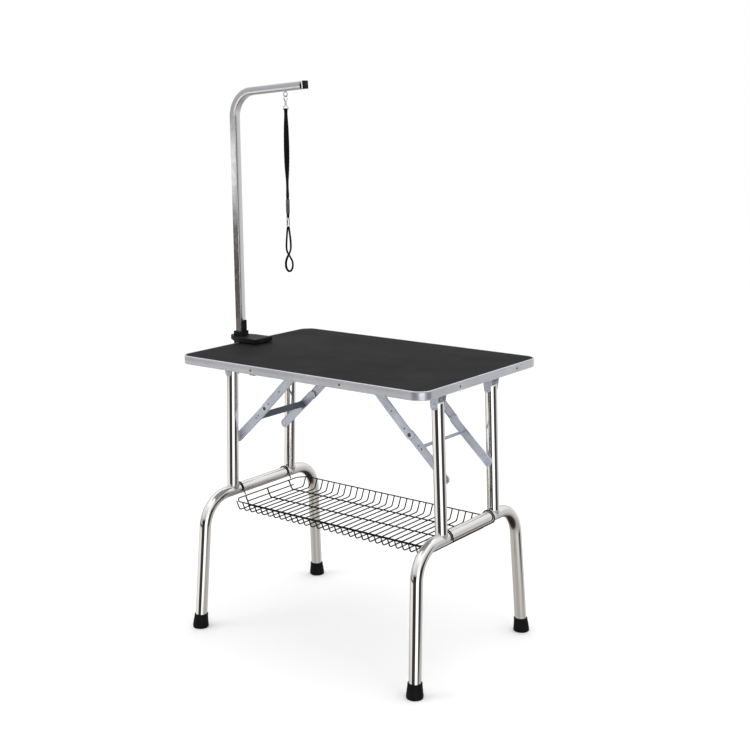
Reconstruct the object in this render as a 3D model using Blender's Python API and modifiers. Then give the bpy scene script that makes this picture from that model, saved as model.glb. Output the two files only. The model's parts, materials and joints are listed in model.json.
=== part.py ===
"""Folding pet grooming table: padded top, two folding leg frames, hung wire basket, clamped arm and noose.

Metres, +Z up, the table standing on Z = 0. X runs along the table, Y across it.
"""

import math

import bmesh
import bpy
from mathutils import Matrix, Vector

# Table top
TABLE_LENGTH = 0.810
TABLE_WIDTH = 0.537
TABLE_HEIGHT = 0.7805
CORNER_RADIUS = 0.038
TRIM_HEIGHT = 0.0225
TRIM_WALL = 0.0015
TRIM_LIP = 0.0045
BOARD_THICKNESS = 0.0135
MAT_THICKNESS = 0.003
GAP = 0.0003

# Folding leg frames
TUBE_RADIUS = 0.016
TUBE_WALL = 0.0015
LEG_PIVOT_X = 0.346
LEG_PIVOT_Z = 0.716
LEG_LEAN = math.radians(2.03)
UPRIGHT_Y = 0.1223
UPRIGHT_ABOVE_PIVOT = 0.014
CROSS_TUBE_DROP = 0.3452
FOOT_Y = 0.2563
LEG_FLARE = math.radians(4.24)
FLOOR_BEND_RADIUS = 0.085
FOOT_HEIGHT = 0.039
FOOT_BOTTOM_RADIUS = 0.022
FOOT_TOP_RADIUS = 0.0185
TUBE_ABOVE_FLOOR = 0.008

# Brackets, pins and two-link folding braces
EAR_THICKNESS = 0.002
EAR_TOP_HALF = 0.016
EAR_END_RADIUS = 0.0105
BRACKET_PLATE_HALF = 0.028
PIN_RADIUS = 0.004
BRACE_TOP = (0.1234, 0.742)
BRACE_KNEE = (0.2465, 0.621)
BRACE_FOOT = (0.3529, 0.5223)
LINK_HALF_WIDTH = 0.0125
LINK_DEPTH = 0.004
LINK_SHEET = 0.0015
UPPER_LINK_Y = 0.1030
LOWER_LINK_Y = 0.0985
CROSSBAR_FROM_KNEE = 0.042
RIVET_RADIUS = 0.0035

# Wire basket
RIM_HALF_X = 0.333
RIM_HALF_Y = 0.150
RIM_Z = 0.3525
RIM_WIRE = 0.00175
BASKET_FLOOR_Z = 0.3225
BASKET_TAPER = 0.012
BASKET_CORNER = 0.022
BASKET_WALL = 0.0028
HANGER_Y = 0.098
HANGER_REACH = 0.0184

# Arm, its clamp and its lock
ARM_X = -0.4248
ARM_SIDE = 0.021
ARM_WALL = 0.0015
ARM_BOTTOM_Z = 0.700
ARM_CORNER_Z = 1.4745
ARM_RISE = math.radians(4.1)
ARM_BEND_RADIUS = 0.072
ARM_END_X = -0.1676
ARM_CORNER_RADIUS = 0.0016
CAP_THICKNESS = 0.0035
PLUG_LENGTH = 0.014
JAW_TOP_Z = 0.7940
JAW_SHOULDER_X = -0.402
JAW_NECK = (-0.432, 0.027)
NOSE_CENTRE_X = -0.4450
NOSE_RADIUS = 0.0150
TONGUE_TOP_Z = 0.838
TONGUE_HALF_Y = 0.010
TONGUE_THICKNESS = 0.003
LOWER_JAW_END_X = -0.355
LOWER_JAW_TOP_Z = 0.722
LOWER_JAW_HALF_Y = 0.0165
SLEEVE_HALF = 0.0150
SLEEVE_HOLE_HALF = 0.0109
SLEEVE_BOTTOM_Z = 0.712
SLEEVE_TOP_Z = 0.807
JAW_INNER_X = -0.337
JAW_HALF_Y = 0.036
CLAMP_SCREW_X = -0.375
CLAMP_SCREW_RADIUS = 0.0050
CLAMP_SCREW_TOP_Z = 0.7530
CLAMP_KNOB_RADIUS = 0.0150
CLAMP_KNOB_LOBES = 6
CLAMP_KNOB_Z = (0.6830, 0.6970)
LOCK_Z = 0.745
LOCK_SCREW_RADIUS = 0.0030
LOCK_END_X = -0.4625

# Noose
EYE_X = -0.2360
EYE_Z = 1.4690
EYE_RADIUS = 0.0065
EYE_WIRE = 0.0015
EYE_STEM_TOP_Z = 1.4890
HOOK_RADIUS = 0.0066
HOOK_WIRE = 0.0016
BARREL_LENGTH = 0.0110
BAIL_HALF_WIDTH = 0.0085
BAIL_WIRE = 0.0013
STRAP_RADIUS = 0.0030
LOOP_RADIUS = 0.0020
SLEEVE_BORE = 0.0034
SLEEVE_OUTER = 0.0052
KEEPER_TOP_Z = 1.1890
KEEPER_BOTTOM_Z = 1.1500
STRAP_TOP_Z = 1.4215
STRAP_BOTTOM_Z = 1.1120
SLIDER_TOP_Z = 1.1390
SLIDER_BOTTOM_Z = 1.1150
LOOP_POINTS = (
    (-0.0028, 0.0000, 1.1110),
    (-0.0045, -0.0005, 1.0950),
    (-0.0062, -0.0012, 1.0750),
    (-0.0060, -0.0022, 1.0560),
    (-0.0020, -0.0030, 1.0440),
    (0.0065, -0.0025, 1.0330),
    (0.0138, -0.0012, 1.0190),
    (0.0130, 0.0000, 1.0050),
    (0.0070, 0.0005, 0.9950),
    (-0.0005, 0.0008, 0.9920),
    (-0.0080, 0.0012, 0.9960),
    (-0.0128, 0.0018, 1.0060),
    (-0.0122, 0.0024, 1.0200),
    (-0.0060, 0.0028, 1.0330),
    (0.0010, 0.0030, 1.0440),
    (0.0056, 0.0022, 1.0560),
    (0.0064, 0.0012, 1.0750),
    (0.0046, 0.0005, 1.0950),
    (0.0028, 0.0000, 1.1110),
)

# The table is shifted so that the whole object's box, from the arm lock to the far trim, centres on X = 0
CENTRE_X = (LOCK_END_X + TABLE_LENGTH / 2) / 2

SMOOTH_ANGLE = math.radians(35)
ROUND_STEPS = 24


def clear_scene():
    for thing in list(bpy.data.objects):
        bpy.data.objects.remove(thing, do_unlink=True)


def material(name, color, roughness, metallic):
    made = bpy.data.materials.new(name)
    made.use_nodes = True
    shader = made.node_tree.nodes["Principled BSDF"]
    shader.inputs["Base Color"].default_value = (*color, 1.0)
    shader.inputs["Roughness"].default_value = roughness
    shader.inputs["Metallic"].default_value = metallic
    return made


def finish(thing, name, look):
    """Name a solid, give it its own copy of a finish and smooth shading up to a sharp angle."""
    thing.name = name
    thing.data.name = name
    thing.data.materials.clear()
    thing.data.materials.append(material(name, *look))
    thing.data.shade_smooth()
    thing.data.set_sharp_from_angle(angle=SMOOTH_ANGLE)
    return thing


def link(data):
    thing = bpy.data.objects.new("piece", data)
    parts.objects.link(thing)
    return thing


def evaluated_mesh(thing):
    bpy.context.view_layer.update()
    graph = bpy.context.evaluated_depsgraph_get()
    mesh = bpy.data.meshes.new_from_object(thing.evaluated_get(graph), depsgraph=graph)
    welded = bmesh.new()
    welded.from_mesh(mesh)
    bmesh.ops.remove_doubles(welded, verts=welded.verts, dist=0.00001)
    bmesh.ops.recalc_face_normals(welded, faces=welded.faces)
    welded.to_mesh(mesh)
    welded.free()
    return mesh


def as_mesh(thing):
    """Replace a curve, or an object with modifiers, by its plain mesh in table coordinates."""
    mesh = evaluated_mesh(thing)
    mesh.transform(thing.matrix_world)
    bpy.data.objects.remove(thing, do_unlink=True)
    return link(mesh)


def combine(target, tool, operation):
    """Boolean a tool mesh into a target mesh, and remove the tool."""
    step = target.modifiers.new("combine", "BOOLEAN")
    step.operation = operation
    step.object = tool
    step.solver = "EXACT"
    mesh = evaluated_mesh(target)
    target.modifiers.clear()
    target.data = mesh
    bpy.data.objects.remove(tool, do_unlink=True)
    return target


def box(low, high):
    """Box between two corners."""
    shape = bmesh.new()
    bmesh.ops.create_cube(shape, size=1.0)
    low, high = Vector(low), Vector(high)
    for vert in shape.verts:
        vert.co = Vector((low[i] + (vert.co[i] + 0.5) * (high[i] - low[i]) for i in range(3)))
    mesh = bpy.data.meshes.new("box")
    shape.to_mesh(mesh)
    shape.free()
    return link(mesh)


def rod(start, end, radius, steps=ROUND_STEPS):
    """Round bar between two points."""
    start, end = Vector(start), Vector(end)
    along = end - start
    shape = bmesh.new()
    bmesh.ops.create_cone(
        shape, cap_ends=True, segments=steps, radius1=radius, radius2=radius, depth=along.length
    )
    mesh = bpy.data.meshes.new("rod")
    shape.to_mesh(mesh)
    shape.free()
    turn = along.to_track_quat("Z", "Y").to_matrix().to_4x4()
    mesh.transform(Matrix.Translation((start + end) / 2) @ turn)
    return link(mesh)


def turned(profile, place, axis, steps=ROUND_STEPS):
    """Solid of revolution: (radius, height) points down the outer side, height along the axis from place."""
    mesh = bpy.data.meshes.new("turned")
    closed = profile[0][0] > 0.0
    count = len(profile)
    edges = [(i, (i + 1) % count) for i in range(count if closed else count - 1)]
    mesh.from_pydata([(r, 0.0, h) for r, h in profile], edges, [])
    thing = link(mesh)
    spin = thing.modifiers.new("turn", "SCREW")
    spin.steps = steps
    spin.render_steps = steps
    spin.use_merge_vertices = True
    spin.merge_threshold = 0.00001
    thing.matrix_world = Matrix.Translation(place) @ Vector(axis).to_track_quat("Z", "Y").to_matrix().to_4x4()
    return as_mesh(thing)


def tube_curve(points, radius, sides, cyclic=False, caps=True):
    curve = bpy.data.curves.new("wire", "CURVE")
    curve.dimensions = "3D"
    curve.bevel_depth = radius
    curve.bevel_resolution = (sides - 4) // 2
    curve.use_fill_caps = caps
    spline = curve.splines.new("POLY")
    spline.points.add(len(points) - 1)
    for point, place in zip(spline.points, points):
        point.co = (*place, 1.0)
    spline.use_cyclic_u = cyclic
    return link(curve)


def wire(points, radius, sides=8, cyclic=False):
    """Round wire with filled ends along a path."""
    return as_mesh(tube_curve(points, radius, sides, cyclic))


def hollow_tube(points, radius, wall, sides):
    """Open-ended tube of a given wall along a path."""
    thing = as_mesh(tube_curve(points, radius, sides, caps=False))
    shell = thing.modifiers.new("wall", "SOLIDIFY")
    shell.thickness = wall
    shell.offset = -1.0
    return as_mesh(thing)


def plate(outlines, low, high):
    """Flat piece from Z = low to high; the first outline is its edge, the others are holes."""
    curve = bpy.data.curves.new("plate", "CURVE")
    curve.dimensions = "2D"
    curve.fill_mode = "BOTH"
    curve.extrude = (high - low) / 2
    for outline in outlines:
        spline = curve.splines.new("POLY")
        spline.points.add(len(outline) - 1)
        for point, (x, y) in zip(spline.points, outline):
            point.co = (x, y, 0.0, 1.0)
        spline.use_cyclic_u = True
    thing = link(curve)
    thing.location.z = (low + high) / 2
    return as_mesh(thing)


def upright_plate(outlines, low_y, high_y):
    """Flat piece whose outlines are in X and Z, between two Y values."""
    thing = plate(outlines, -high_y, -low_y)
    thing.data.transform(Matrix.Rotation(math.radians(90), 4, "X"))
    return thing


def arc(centre, radius, start, end, steps):
    """Points on an arc, angles in degrees."""
    angles = [math.radians(start + (end - start) * i / steps) for i in range(steps + 1)]
    return [(centre[0] + radius * math.cos(a), centre[1] + radius * math.sin(a)) for a in angles]


def circle(centre, radius, steps=ROUND_STEPS):
    return arc(centre, radius, 0, 360, steps)[:-1]


def rounded_rectangle(half_x, half_y, radius, steps=8):
    corners = ((1, 1, 0), (-1, 1, 90), (-1, -1, 180), (1, -1, 270))
    points = []
    for side_x, side_y, start in corners:
        centre = (side_x * (half_x - radius), side_y * (half_y - radius))
        points += arc(centre, radius, start, start + 90, steps)
    return points


def stadium(start, end, radius, steps=10):
    """Outline of a bar with round ends between two points."""
    angle = math.degrees(math.atan2(end[1] - start[1], end[0] - start[0]))
    far_end = arc(end, radius, angle - 90, angle + 90, steps)
    return far_end + arc(start, radius, angle + 90, angle + 270, steps)


def mirrored(thing, side_x, side_y):
    """Reflect a mesh built for the +X, +Y corner into another corner, faces still pointing out."""
    thing.data.transform(Matrix.Diagonal((side_x, side_y, 1.0, 1.0)))
    if side_x * side_y < 0:
        thing.data.flip_normals()
    return thing


def pivot(name, place, parent=None):
    """Empty that marks a joint axis, or the frame that everything stands in."""
    thing = bpy.data.objects.new(name, None)
    thing.empty_display_size = 0.03
    parts.objects.link(thing)
    pivots[name] = Vector(place)
    thing.parent = parent
    thing.location = pivots[name] - (pivots[parent.name] if parent else Vector())
    return thing


def attach(thing, parent):
    """Put a mesh built in table coordinates under a pivot, with its origin on the pivot."""
    thing.data.transform(Matrix.Translation(-pivots[parent.name]))
    thing.parent = parent
    return thing


def table_top(frame):
    top = TABLE_HEIGHT
    half_x, half_y = TABLE_LENGTH / 2, TABLE_WIDTH / 2
    edge = rounded_rectangle(half_x, half_y, CORNER_RADIUS)
    trim = plate([edge], top - TRIM_HEIGHT, top)
    inset = TRIM_WALL
    room = rounded_rectangle(half_x - inset, half_y - inset, CORNER_RADIUS - inset)
    lip = rounded_rectangle(half_x - TRIM_LIP, half_y - TRIM_LIP, CORNER_RADIUS - TRIM_LIP)
    combine(trim, plate([room], top - TRIM_HEIGHT - 0.01, top - 0.001), "DIFFERENCE")
    combine(trim, plate([lip], top - TRIM_HEIGHT - 0.02, top + 0.01), "DIFFERENCE")
    attach(finish(trim, "edge_trim", ALUMINIUM), frame)
    inset = TRIM_WALL + GAP
    sheet = rounded_rectangle(half_x - inset, half_y - inset, CORNER_RADIUS - inset)
    mat_top = top - 0.001 - GAP
    mat = plate([sheet], mat_top - MAT_THICKNESS, mat_top)
    attach(finish(mat, "top_mat", MAT_BLACK), frame)
    board_top = mat_top - MAT_THICKNESS - GAP
    board = plate([sheet], board_top - BOARD_THICKNESS, board_top)
    attach(finish(board, "top_board", BOARD_GREY), frame)
    return board_top - BOARD_THICKNESS


def leg_bracket(under_board):
    """Saddle with two ears; the leg pin goes through the ears and the upright between them."""
    x, z = LEG_PIVOT_X, LEG_PIVOT_Z
    top = under_board - GAP
    inner = TUBE_RADIUS + GAP
    outer = inner + EAR_THICKNESS
    lower_end = arc((x, z), EAR_END_RADIUS, 200, 340, 8)
    ear = [(x + EAR_TOP_HALF, top - 0.0005), (x - EAR_TOP_HALF, top - 0.0005)] + lower_end
    hole = circle((x, z), PIN_RADIUS + GAP)
    saddle = box(
        (x - BRACKET_PLATE_HALF, UPRIGHT_Y - outer, top - EAR_THICKNESS),
        (x + BRACKET_PLATE_HALF, UPRIGHT_Y + outer, top),
    )
    for low, high in ((-outer, -inner), (inner, outer)):
        combine(saddle, upright_plate([ear, hole], UPRIGHT_Y + low, UPRIGHT_Y + high), "UNION")
    return saddle


def leg_pin():
    """Headed pin across one leg bracket."""
    half = TUBE_RADIUS + GAP + EAR_THICKNESS + GAP
    head = 0.0025
    profile = [
        (0.0, half + head),
        (0.0060, half + head),
        (0.0070, half + head * 0.5),
        (0.0070, half),
        (PIN_RADIUS, half),
        (PIN_RADIUS, -half),
        (0.0058, -half),
        (0.0058, -half - head * 0.5),
        (0.0045, -half - head * 0.8),
        (0.0, -half - head * 0.8),
    ]
    return turned(profile, (LEG_PIVOT_X, UPRIGHT_Y, LEG_PIVOT_Z), (0, 1, 0), 16)


def lean():
    """Turn a frame built upright, with its pivot at the origin, to its rest lean at the +X end."""
    return Matrix.Translation((LEG_PIVOT_X, 0, LEG_PIVOT_Z)) @ Matrix.Rotation(-LEG_LEAN, 4, "Y")


def upright():
    """Tube from the leg pin down to the floor tube, coped to fit on it, with the brace stud riveted in."""
    top, bottom = UPRIGHT_ABOVE_PIVOT, -CROSS_TUBE_DROP
    outer = TUBE_RADIUS
    inner = TUBE_RADIUS - TUBE_WALL
    profile = [(outer, top), (outer, bottom), (inner, bottom), (inner, top)]
    tube = turned(profile, (0, 0, 0), (0, 0, 1), 28)
    cope = rod((0, -0.03, bottom), (0, 0.03, bottom), TUBE_RADIUS + GAP, 40)
    combine(tube, cope, "DIFFERENCE")
    combine(tube, rod((0, -0.03, 0), (0, 0.03, 0), PIN_RADIUS + GAP, 16), "DIFFERENCE")
    drop = -math.hypot(BRACE_FOOT[0] - LEG_PIVOT_X, BRACE_FOOT[1] - LEG_PIVOT_Z)
    inward = LOWER_LINK_Y - LINK_DEPTH / 2 - UPRIGHT_Y
    stud = rod((0, inward, drop), (0, -inner + 0.0002, drop), RIVET_RADIUS, 16)
    head_start = inward + LINK_DEPTH - LINK_SHEET - GAP
    combine(stud, rod((0, head_start, drop), (0, head_start - 0.002, drop), 0.0060, 16), "UNION")
    combine(tube, stud, "UNION")
    tube.data.transform(lean() @ Matrix.Translation((0, UPRIGHT_Y, 0)))
    return tube


def floor_tube_path():
    """Inverted U in the frame's plane: cross run, two bends and two flared legs, as (y, z) from the pivot."""
    floor = -LEG_PIVOT_Z / math.cos(LEG_LEAN)
    cross = -CROSS_TUBE_DROP
    slope = math.tan(LEG_FLARE)
    corner_y = FOOT_Y - slope * (cross - floor)
    turn = math.degrees(math.pi / 2 - LEG_FLARE)
    centre_y = corner_y - FLOOR_BEND_RADIUS * math.tan(math.radians(turn) / 2)
    bend = arc((centre_y, cross - FLOOR_BEND_RADIUS), FLOOR_BEND_RADIUS, 90, 90 - turn, 9)
    end = floor + TUBE_ABOVE_FLOOR
    half = [(0.0, cross)] + bend + [(FOOT_Y - slope * (end - floor), end)]
    return [(-y, z) for y, z in reversed(half[1:])] + half


def floor_tube():
    path = [(0.0, y, z) for y, z in floor_tube_path()]
    tube = hollow_tube(path, TUBE_RADIUS, TUBE_WALL, 20)
    tube.data.transform(lean())
    return tube


def rubber_foot():
    """Flat-bottomed rubber tip, bored along the leg's slant for the tube end."""
    base_x = LEG_PIVOT_X + LEG_PIVOT_Z * math.tan(LEG_LEAN)
    profile = [
        (0.0, FOOT_HEIGHT),
        (FOOT_TOP_RADIUS - 0.001, FOOT_HEIGHT),
        (FOOT_TOP_RADIUS, FOOT_HEIGHT - 0.001),
        (0.0196, 0.0130),
        (FOOT_BOTTOM_RADIUS - 0.0008, 0.0105),
        (FOOT_BOTTOM_RADIUS, 0.0090),
        (FOOT_BOTTOM_RADIUS, 0.0015),
        (FOOT_BOTTOM_RADIUS - 0.0015, 0.0),
        (0.0, 0.0),
    ]
    tip = turned(profile, (base_x, FOOT_Y, 0), (0, 0, 1), ROUND_STEPS)
    (low_y, low_z), (next_y, next_z) = floor_tube_path()[-1], floor_tube_path()[-2]
    start = lean() @ Vector((0, low_y, low_z))
    up = (lean() @ Vector((0, next_y, next_z)) - start).normalized()
    bore = rod(start - up * GAP, start + up * 0.06, TUBE_RADIUS + GAP * 2)
    return combine(tip, bore, "DIFFERENCE")


def brace_bracket(under_board):
    """Angle with one ear outside the upper link, and the stud that the link turns on."""
    x, z = BRACE_TOP
    top = under_board - GAP
    ear_low = UPPER_LINK_Y + LINK_DEPTH / 2 + GAP
    ear_high = ear_low + EAR_THICKNESS
    ear = [(x + 0.013, top - 0.0005), (x - 0.013, top - 0.0005)] + arc((x, z), 0.009, 200, 340, 8)
    angle = box((x - 0.013, ear_low, top - EAR_THICKNESS), (x + 0.013, ear_low + 0.026, top))
    combine(angle, upright_plate([ear], ear_low, ear_high), "UNION")
    link_low = UPPER_LINK_Y - LINK_DEPTH / 2
    stud = rod((x, ear_low + 0.0005, z), (x, link_low, z), RIVET_RADIUS, 16)
    head_at = UPPER_LINK_Y + LINK_DEPTH / 2 - LINK_SHEET - GAP
    combine(stud, rod((x, head_at, z), (x, head_at - 0.002, z), 0.0060, 16), "UNION")
    return combine(angle, stud, "UNION")


def brace_link(start, end, middle_y, holes):
    """Pressed link: a web on the outer side and a flange all round, open on the inner side."""
    low, high = middle_y - LINK_DEPTH / 2, middle_y + LINK_DEPTH / 2
    rims = [circle(place, RIVET_RADIUS + GAP, 16) for place in holes]
    body = upright_plate([stadium(start, end, LINK_HALF_WIDTH)] + rims, low, high)
    pocket = stadium(start, end, LINK_HALF_WIDTH - LINK_SHEET)
    return combine(body, upright_plate([pocket], low - 0.01, high - LINK_SHEET), "DIFFERENCE")


def knee_rivet():
    """Rivet carried by the upper link, ending face to face with the lower link."""
    x, z = BRACE_KNEE
    web_out = UPPER_LINK_Y + LINK_DEPTH / 2
    tail = LOWER_LINK_Y + LINK_DEPTH / 2 + GAP
    profile = [
        (0.0, web_out + 0.0009),
        (0.0038, web_out + 0.0009),
        (0.0055, web_out + 0.0005),
        (0.0055, web_out + GAP),
        (RIVET_RADIUS, web_out + GAP),
        (RIVET_RADIUS, tail),
        (0.0, tail),
    ]
    return turned(profile, (x, 0, z), (0, 1, 0), 16)


def crossbar():
    """Strip that joins the two lower links of one brace, with a tab inside each link."""
    along = Vector((BRACE_FOOT[0] - BRACE_KNEE[0], 0, BRACE_FOOT[1] - BRACE_KNEE[1])).normalized()
    end_y = LOWER_LINK_Y + LINK_DEPTH / 2 - LINK_SHEET - GAP
    half_width = 0.0095
    strip = box((-0.001, -end_y, -half_width), (0.001, end_y, half_width))
    for side in (-1, 1):
        low, high = sorted((side * end_y, side * (end_y - 0.0015)))
        combine(strip, box((-0.0005, low, -half_width), (0.016, high, half_width)), "UNION")
    angle = math.atan2(-along.z, along.x)
    place = Vector((BRACE_KNEE[0], 0, BRACE_KNEE[1])) + along * CROSSBAR_FROM_KNEE
    strip.data.transform(Matrix.Translation(place) @ Matrix.Rotation(angle, 4, "Y"))
    return strip


def leg_set(end, side_x, frame, under_board):
    """Everything at one end of the table, built at +X and mirrored to its end."""
    legs = pivot(f"{end}_leg_pivot", (side_x * LEG_PIVOT_X, 0, LEG_PIVOT_Z), frame)
    upper = pivot(f"{end}_brace_upper_pivot", (side_x * BRACE_TOP[0], 0, BRACE_TOP[1]), frame)
    lower = pivot(f"{end}_brace_lower_pivot", (side_x * BRACE_FOOT[0], 0, BRACE_FOOT[1]), legs)

    def place(thing, name, look, parent, side_y=1):
        attach(mirrored(finish(thing, name, look), side_x, side_y), parent)

    place(floor_tube(), f"{end}_floor_tube", STEEL, legs)
    place(crossbar(), f"{end}_brace_crossbar", ZINC, lower)
    for where, side_y in (("front", -1), ("back", 1)):
        name = f"{end}_{where}"
        place(leg_bracket(under_board), f"{name}_leg_bracket", ZINC, frame, side_y)
        place(leg_pin(), f"{name}_leg_pin", ZINC, frame, side_y)
        place(upright(), f"{name}_upright", STEEL, legs, side_y)
        place(rubber_foot(), f"{name}_foot", RUBBER, legs, side_y)
        place(brace_bracket(under_board), f"{name}_brace_bracket", ZINC, frame, side_y)
        upper_link = brace_link(BRACE_TOP, BRACE_KNEE, UPPER_LINK_Y, [BRACE_TOP, BRACE_KNEE])
        place(upper_link, f"{name}_brace_upper", ZINC, upper, side_y)
        lower_link = brace_link(BRACE_KNEE, BRACE_FOOT, LOWER_LINK_Y, [BRACE_FOOT])
        place(lower_link, f"{name}_brace_lower", ZINC, lower, side_y)
        place(knee_rivet(), f"{name}_knee_rivet", ZINC, upper, side_y)


def basket_outline(half_x, half_y):
    """Rectangle with cut corners, the corner points slightly rounded."""
    cut = BASKET_CORNER
    points = []
    for side_x, side_y in ((1, 1), (-1, 1), (-1, -1), (1, -1)):
        near = [(side_x * half_x, side_y * (half_y - cut)), (side_x * (half_x - cut), side_y * half_y)]
        near.insert(1, (side_x * (half_x - cut * 0.32), side_y * (half_y - cut * 0.32)))
        points += near if side_x * side_y > 0 else near[::-1]
    return points


def basket(frame):
    holder = pivot("basket_lift", (0, 0, RIM_Z), frame)
    rim_path = [(x, y, RIM_Z) for x, y in basket_outline(RIM_HALF_X, RIM_HALF_Y)]
    rim = wire(rim_path, RIM_WIRE, 8, cyclic=True)
    attach(finish(rim, "basket_rim", WIRE_BLACK), holder)
    top_z = RIM_Z - RIM_WIRE - GAP
    low_x, low_y = RIM_HALF_X - BASKET_TAPER, RIM_HALF_Y - BASKET_TAPER
    tray = plate([basket_outline(RIM_HALF_X, RIM_HALF_Y)], BASKET_FLOOR_Z, top_z)
    for vert in tray.data.vertices:
        if vert.co.z < (BASKET_FLOOR_Z + top_z) / 2:
            vert.co.x *= low_x / RIM_HALF_X
            vert.co.y *= low_y / RIM_HALF_Y
    wall = BASKET_WALL
    room = plate([basket_outline(RIM_HALF_X - wall, RIM_HALF_Y - wall)], BASKET_FLOOR_Z + wall, top_z + 0.01)
    for vert in room.data.vertices:
        if vert.co.z < top_z:
            vert.co.x *= (low_x - wall) / (RIM_HALF_X - wall)
            vert.co.y *= (low_y - wall) / (RIM_HALF_Y - wall)
    combine(tray, room, "DIFFERENCE")
    attach(finish(tray, "basket_tray", WIRE_BLACK), holder)
    for end, side in (("left", -1), ("right", 1)):
        attach(finish(mirrored(basket_hanger(), side, 1), f"{end}_basket_hanger", WIRE_BLACK), holder)


def basket_hanger():
    """One wire: two hooks over the cross tube, joined along the tube's outer side."""
    tube_x = LEG_PIVOT_X + CROSS_TUBE_DROP * math.sin(LEG_LEAN)
    tube_z = LEG_PIVOT_Z - CROSS_TUBE_DROP * math.cos(LEG_LEAN)
    reach = HANGER_REACH
    start = [(RIM_HALF_X, RIM_Z + RIM_WIRE * 2 + 0.0002), (tube_x - reach, tube_z - 0.004)]
    over = arc((tube_x, tube_z), reach, 180, 0, 8)
    down = [(tube_x + reach, tube_z - 0.006)]
    hook = [(x, HANGER_Y, z) for x, z in start + over + down]
    corner = [(tube_x + reach, HANGER_Y - 0.002, tube_z - 0.009)]
    half = hook + corner
    path = half + [(x, -y, z) for x, y, z in reversed(half)]
    return wire(path, RIM_WIRE, 8)


def clamp(frame):
    attach(finish(clamp_body(), "clamp_body", CLAMP_BLACK), frame)
    knob_low, knob_high = CLAMP_KNOB_Z
    screw_low = knob_high + GAP
    screw_axis = pivot("clamp_screw_axis", (CLAMP_SCREW_X, 0, screw_low), frame)
    pad_profile = [
        (0.0, 0.0084),
        (0.0125, 0.0084),
        (0.0135, 0.0074),
        (0.0135, 0.0030),
        (0.0080, 0.0),
        (0.0, 0.0),
    ]
    pad = turned(pad_profile, (CLAMP_SCREW_X, 0, CLAMP_SCREW_TOP_Z + GAP), (0, 0, 1))
    attach(finish(pad, "clamp_pad", CLAMP_BLACK), screw_axis)
    screw_ends = [(CLAMP_SCREW_X, 0, z) for z in (screw_low, CLAMP_SCREW_TOP_Z)]
    screw = rod(*screw_ends, CLAMP_SCREW_RADIUS)
    attach(finish(screw, "clamp_screw", ZINC), screw_axis)
    knob = soften(plate([knob_outline()], knob_low, knob_high), 0.001, 1)
    attach(finish(knob, "clamp_knob", CLAMP_BLACK), screw_axis)
    lock_axis = pivot("arm_lock_axis", (LOCK_END_X, 0, LOCK_Z), frame)
    attach(finish(lock_knob(), "arm_lock_knob", CLAMP_BLACK), lock_axis)


def knob_outline():
    """Circle with shallow lobes, so that fingers can grip it."""
    steps = 48
    points = []
    for i in range(steps):
        angle = 2 * math.pi * i / steps
        radius = CLAMP_KNOB_RADIUS + 0.0015 * math.cos(CLAMP_KNOB_LOBES * angle)
        points.append((CLAMP_SCREW_X + radius * math.cos(angle), radius * math.sin(angle)))
    return points


def soften(thing, width, segments):
    """Round the sharp edges of a flat piece."""
    edge = thing.modifiers.new("edge", "BEVEL")
    edge.width = width
    edge.segments = segments
    edge.limit_method = "ANGLE"
    edge.angle_limit = math.radians(40)
    return as_mesh(thing)


def clamp_body():
    """Casting: top jaw, square sleeve for the arm with a tongue up its inner face, and a lower jaw."""
    sleeve_left = ARM_X - SLEEVE_HALF
    sleeve_right = ARM_X + SLEEVE_HALF
    neck_x, neck_y = JAW_NECK
    nose = arc((NOSE_CENTRE_X, 0), NOSE_RADIUS, 130, 230, 8)
    inner_end = [(JAW_INNER_X, -JAW_HALF_Y), (JAW_INNER_X, JAW_HALF_Y)]
    far_side = [(JAW_SHOULDER_X, JAW_HALF_Y), (neck_x, neck_y)]
    near_side = [(x, -y) for x, y in reversed(far_side)]
    jaw_plate = plate([inner_end + far_side + nose + near_side], TABLE_HEIGHT + GAP, JAW_TOP_Z)
    body = soften(jaw_plate, 0.0015, 2)
    half = SLEEVE_HALF
    sleeve = box((sleeve_left, -half, SLEEVE_BOTTOM_Z), (sleeve_right, half, SLEEVE_TOP_Z))
    combine(body, sleeve, "UNION")
    tongue_low = ARM_X + SLEEVE_HOLE_HALF - 0.0002
    tongue_high = tongue_low + TONGUE_THICKNESS
    tongue = box((tongue_low, -TONGUE_HALF_Y, 0.790), (tongue_high, TONGUE_HALF_Y, TONGUE_TOP_Z))
    combine(body, tongue, "UNION")
    jaw_low = (sleeve_left + 0.001, -LOWER_JAW_HALF_Y, SLEEVE_BOTTOM_Z - 0.002)
    combine(body, box(jaw_low, (LOWER_JAW_END_X, LOWER_JAW_HALF_Y, LOWER_JAW_TOP_Z)), "UNION")
    boss_ends = [(CLAMP_SCREW_X, 0, z) for z in (0.7045, 0.729)]
    combine(body, rod(*boss_ends, 0.0105), "UNION")
    thread_ends = [(CLAMP_SCREW_X, 0, z) for z in (0.69, 0.74)]
    combine(body, rod(*thread_ends, CLAMP_SCREW_RADIUS + GAP), "DIFFERENCE")
    hole = SLEEVE_HOLE_HALF
    way = box((ARM_X - hole, -hole, 0.69), (ARM_X + hole, hole, 0.85))
    combine(body, way, "DIFFERENCE")
    lock_ends = [(x, 0, LOCK_Z) for x in (sleeve_left - 0.01, ARM_X)]
    return combine(body, rod(*lock_ends, LOCK_SCREW_RADIUS + GAP, 16), "DIFFERENCE")


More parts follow.
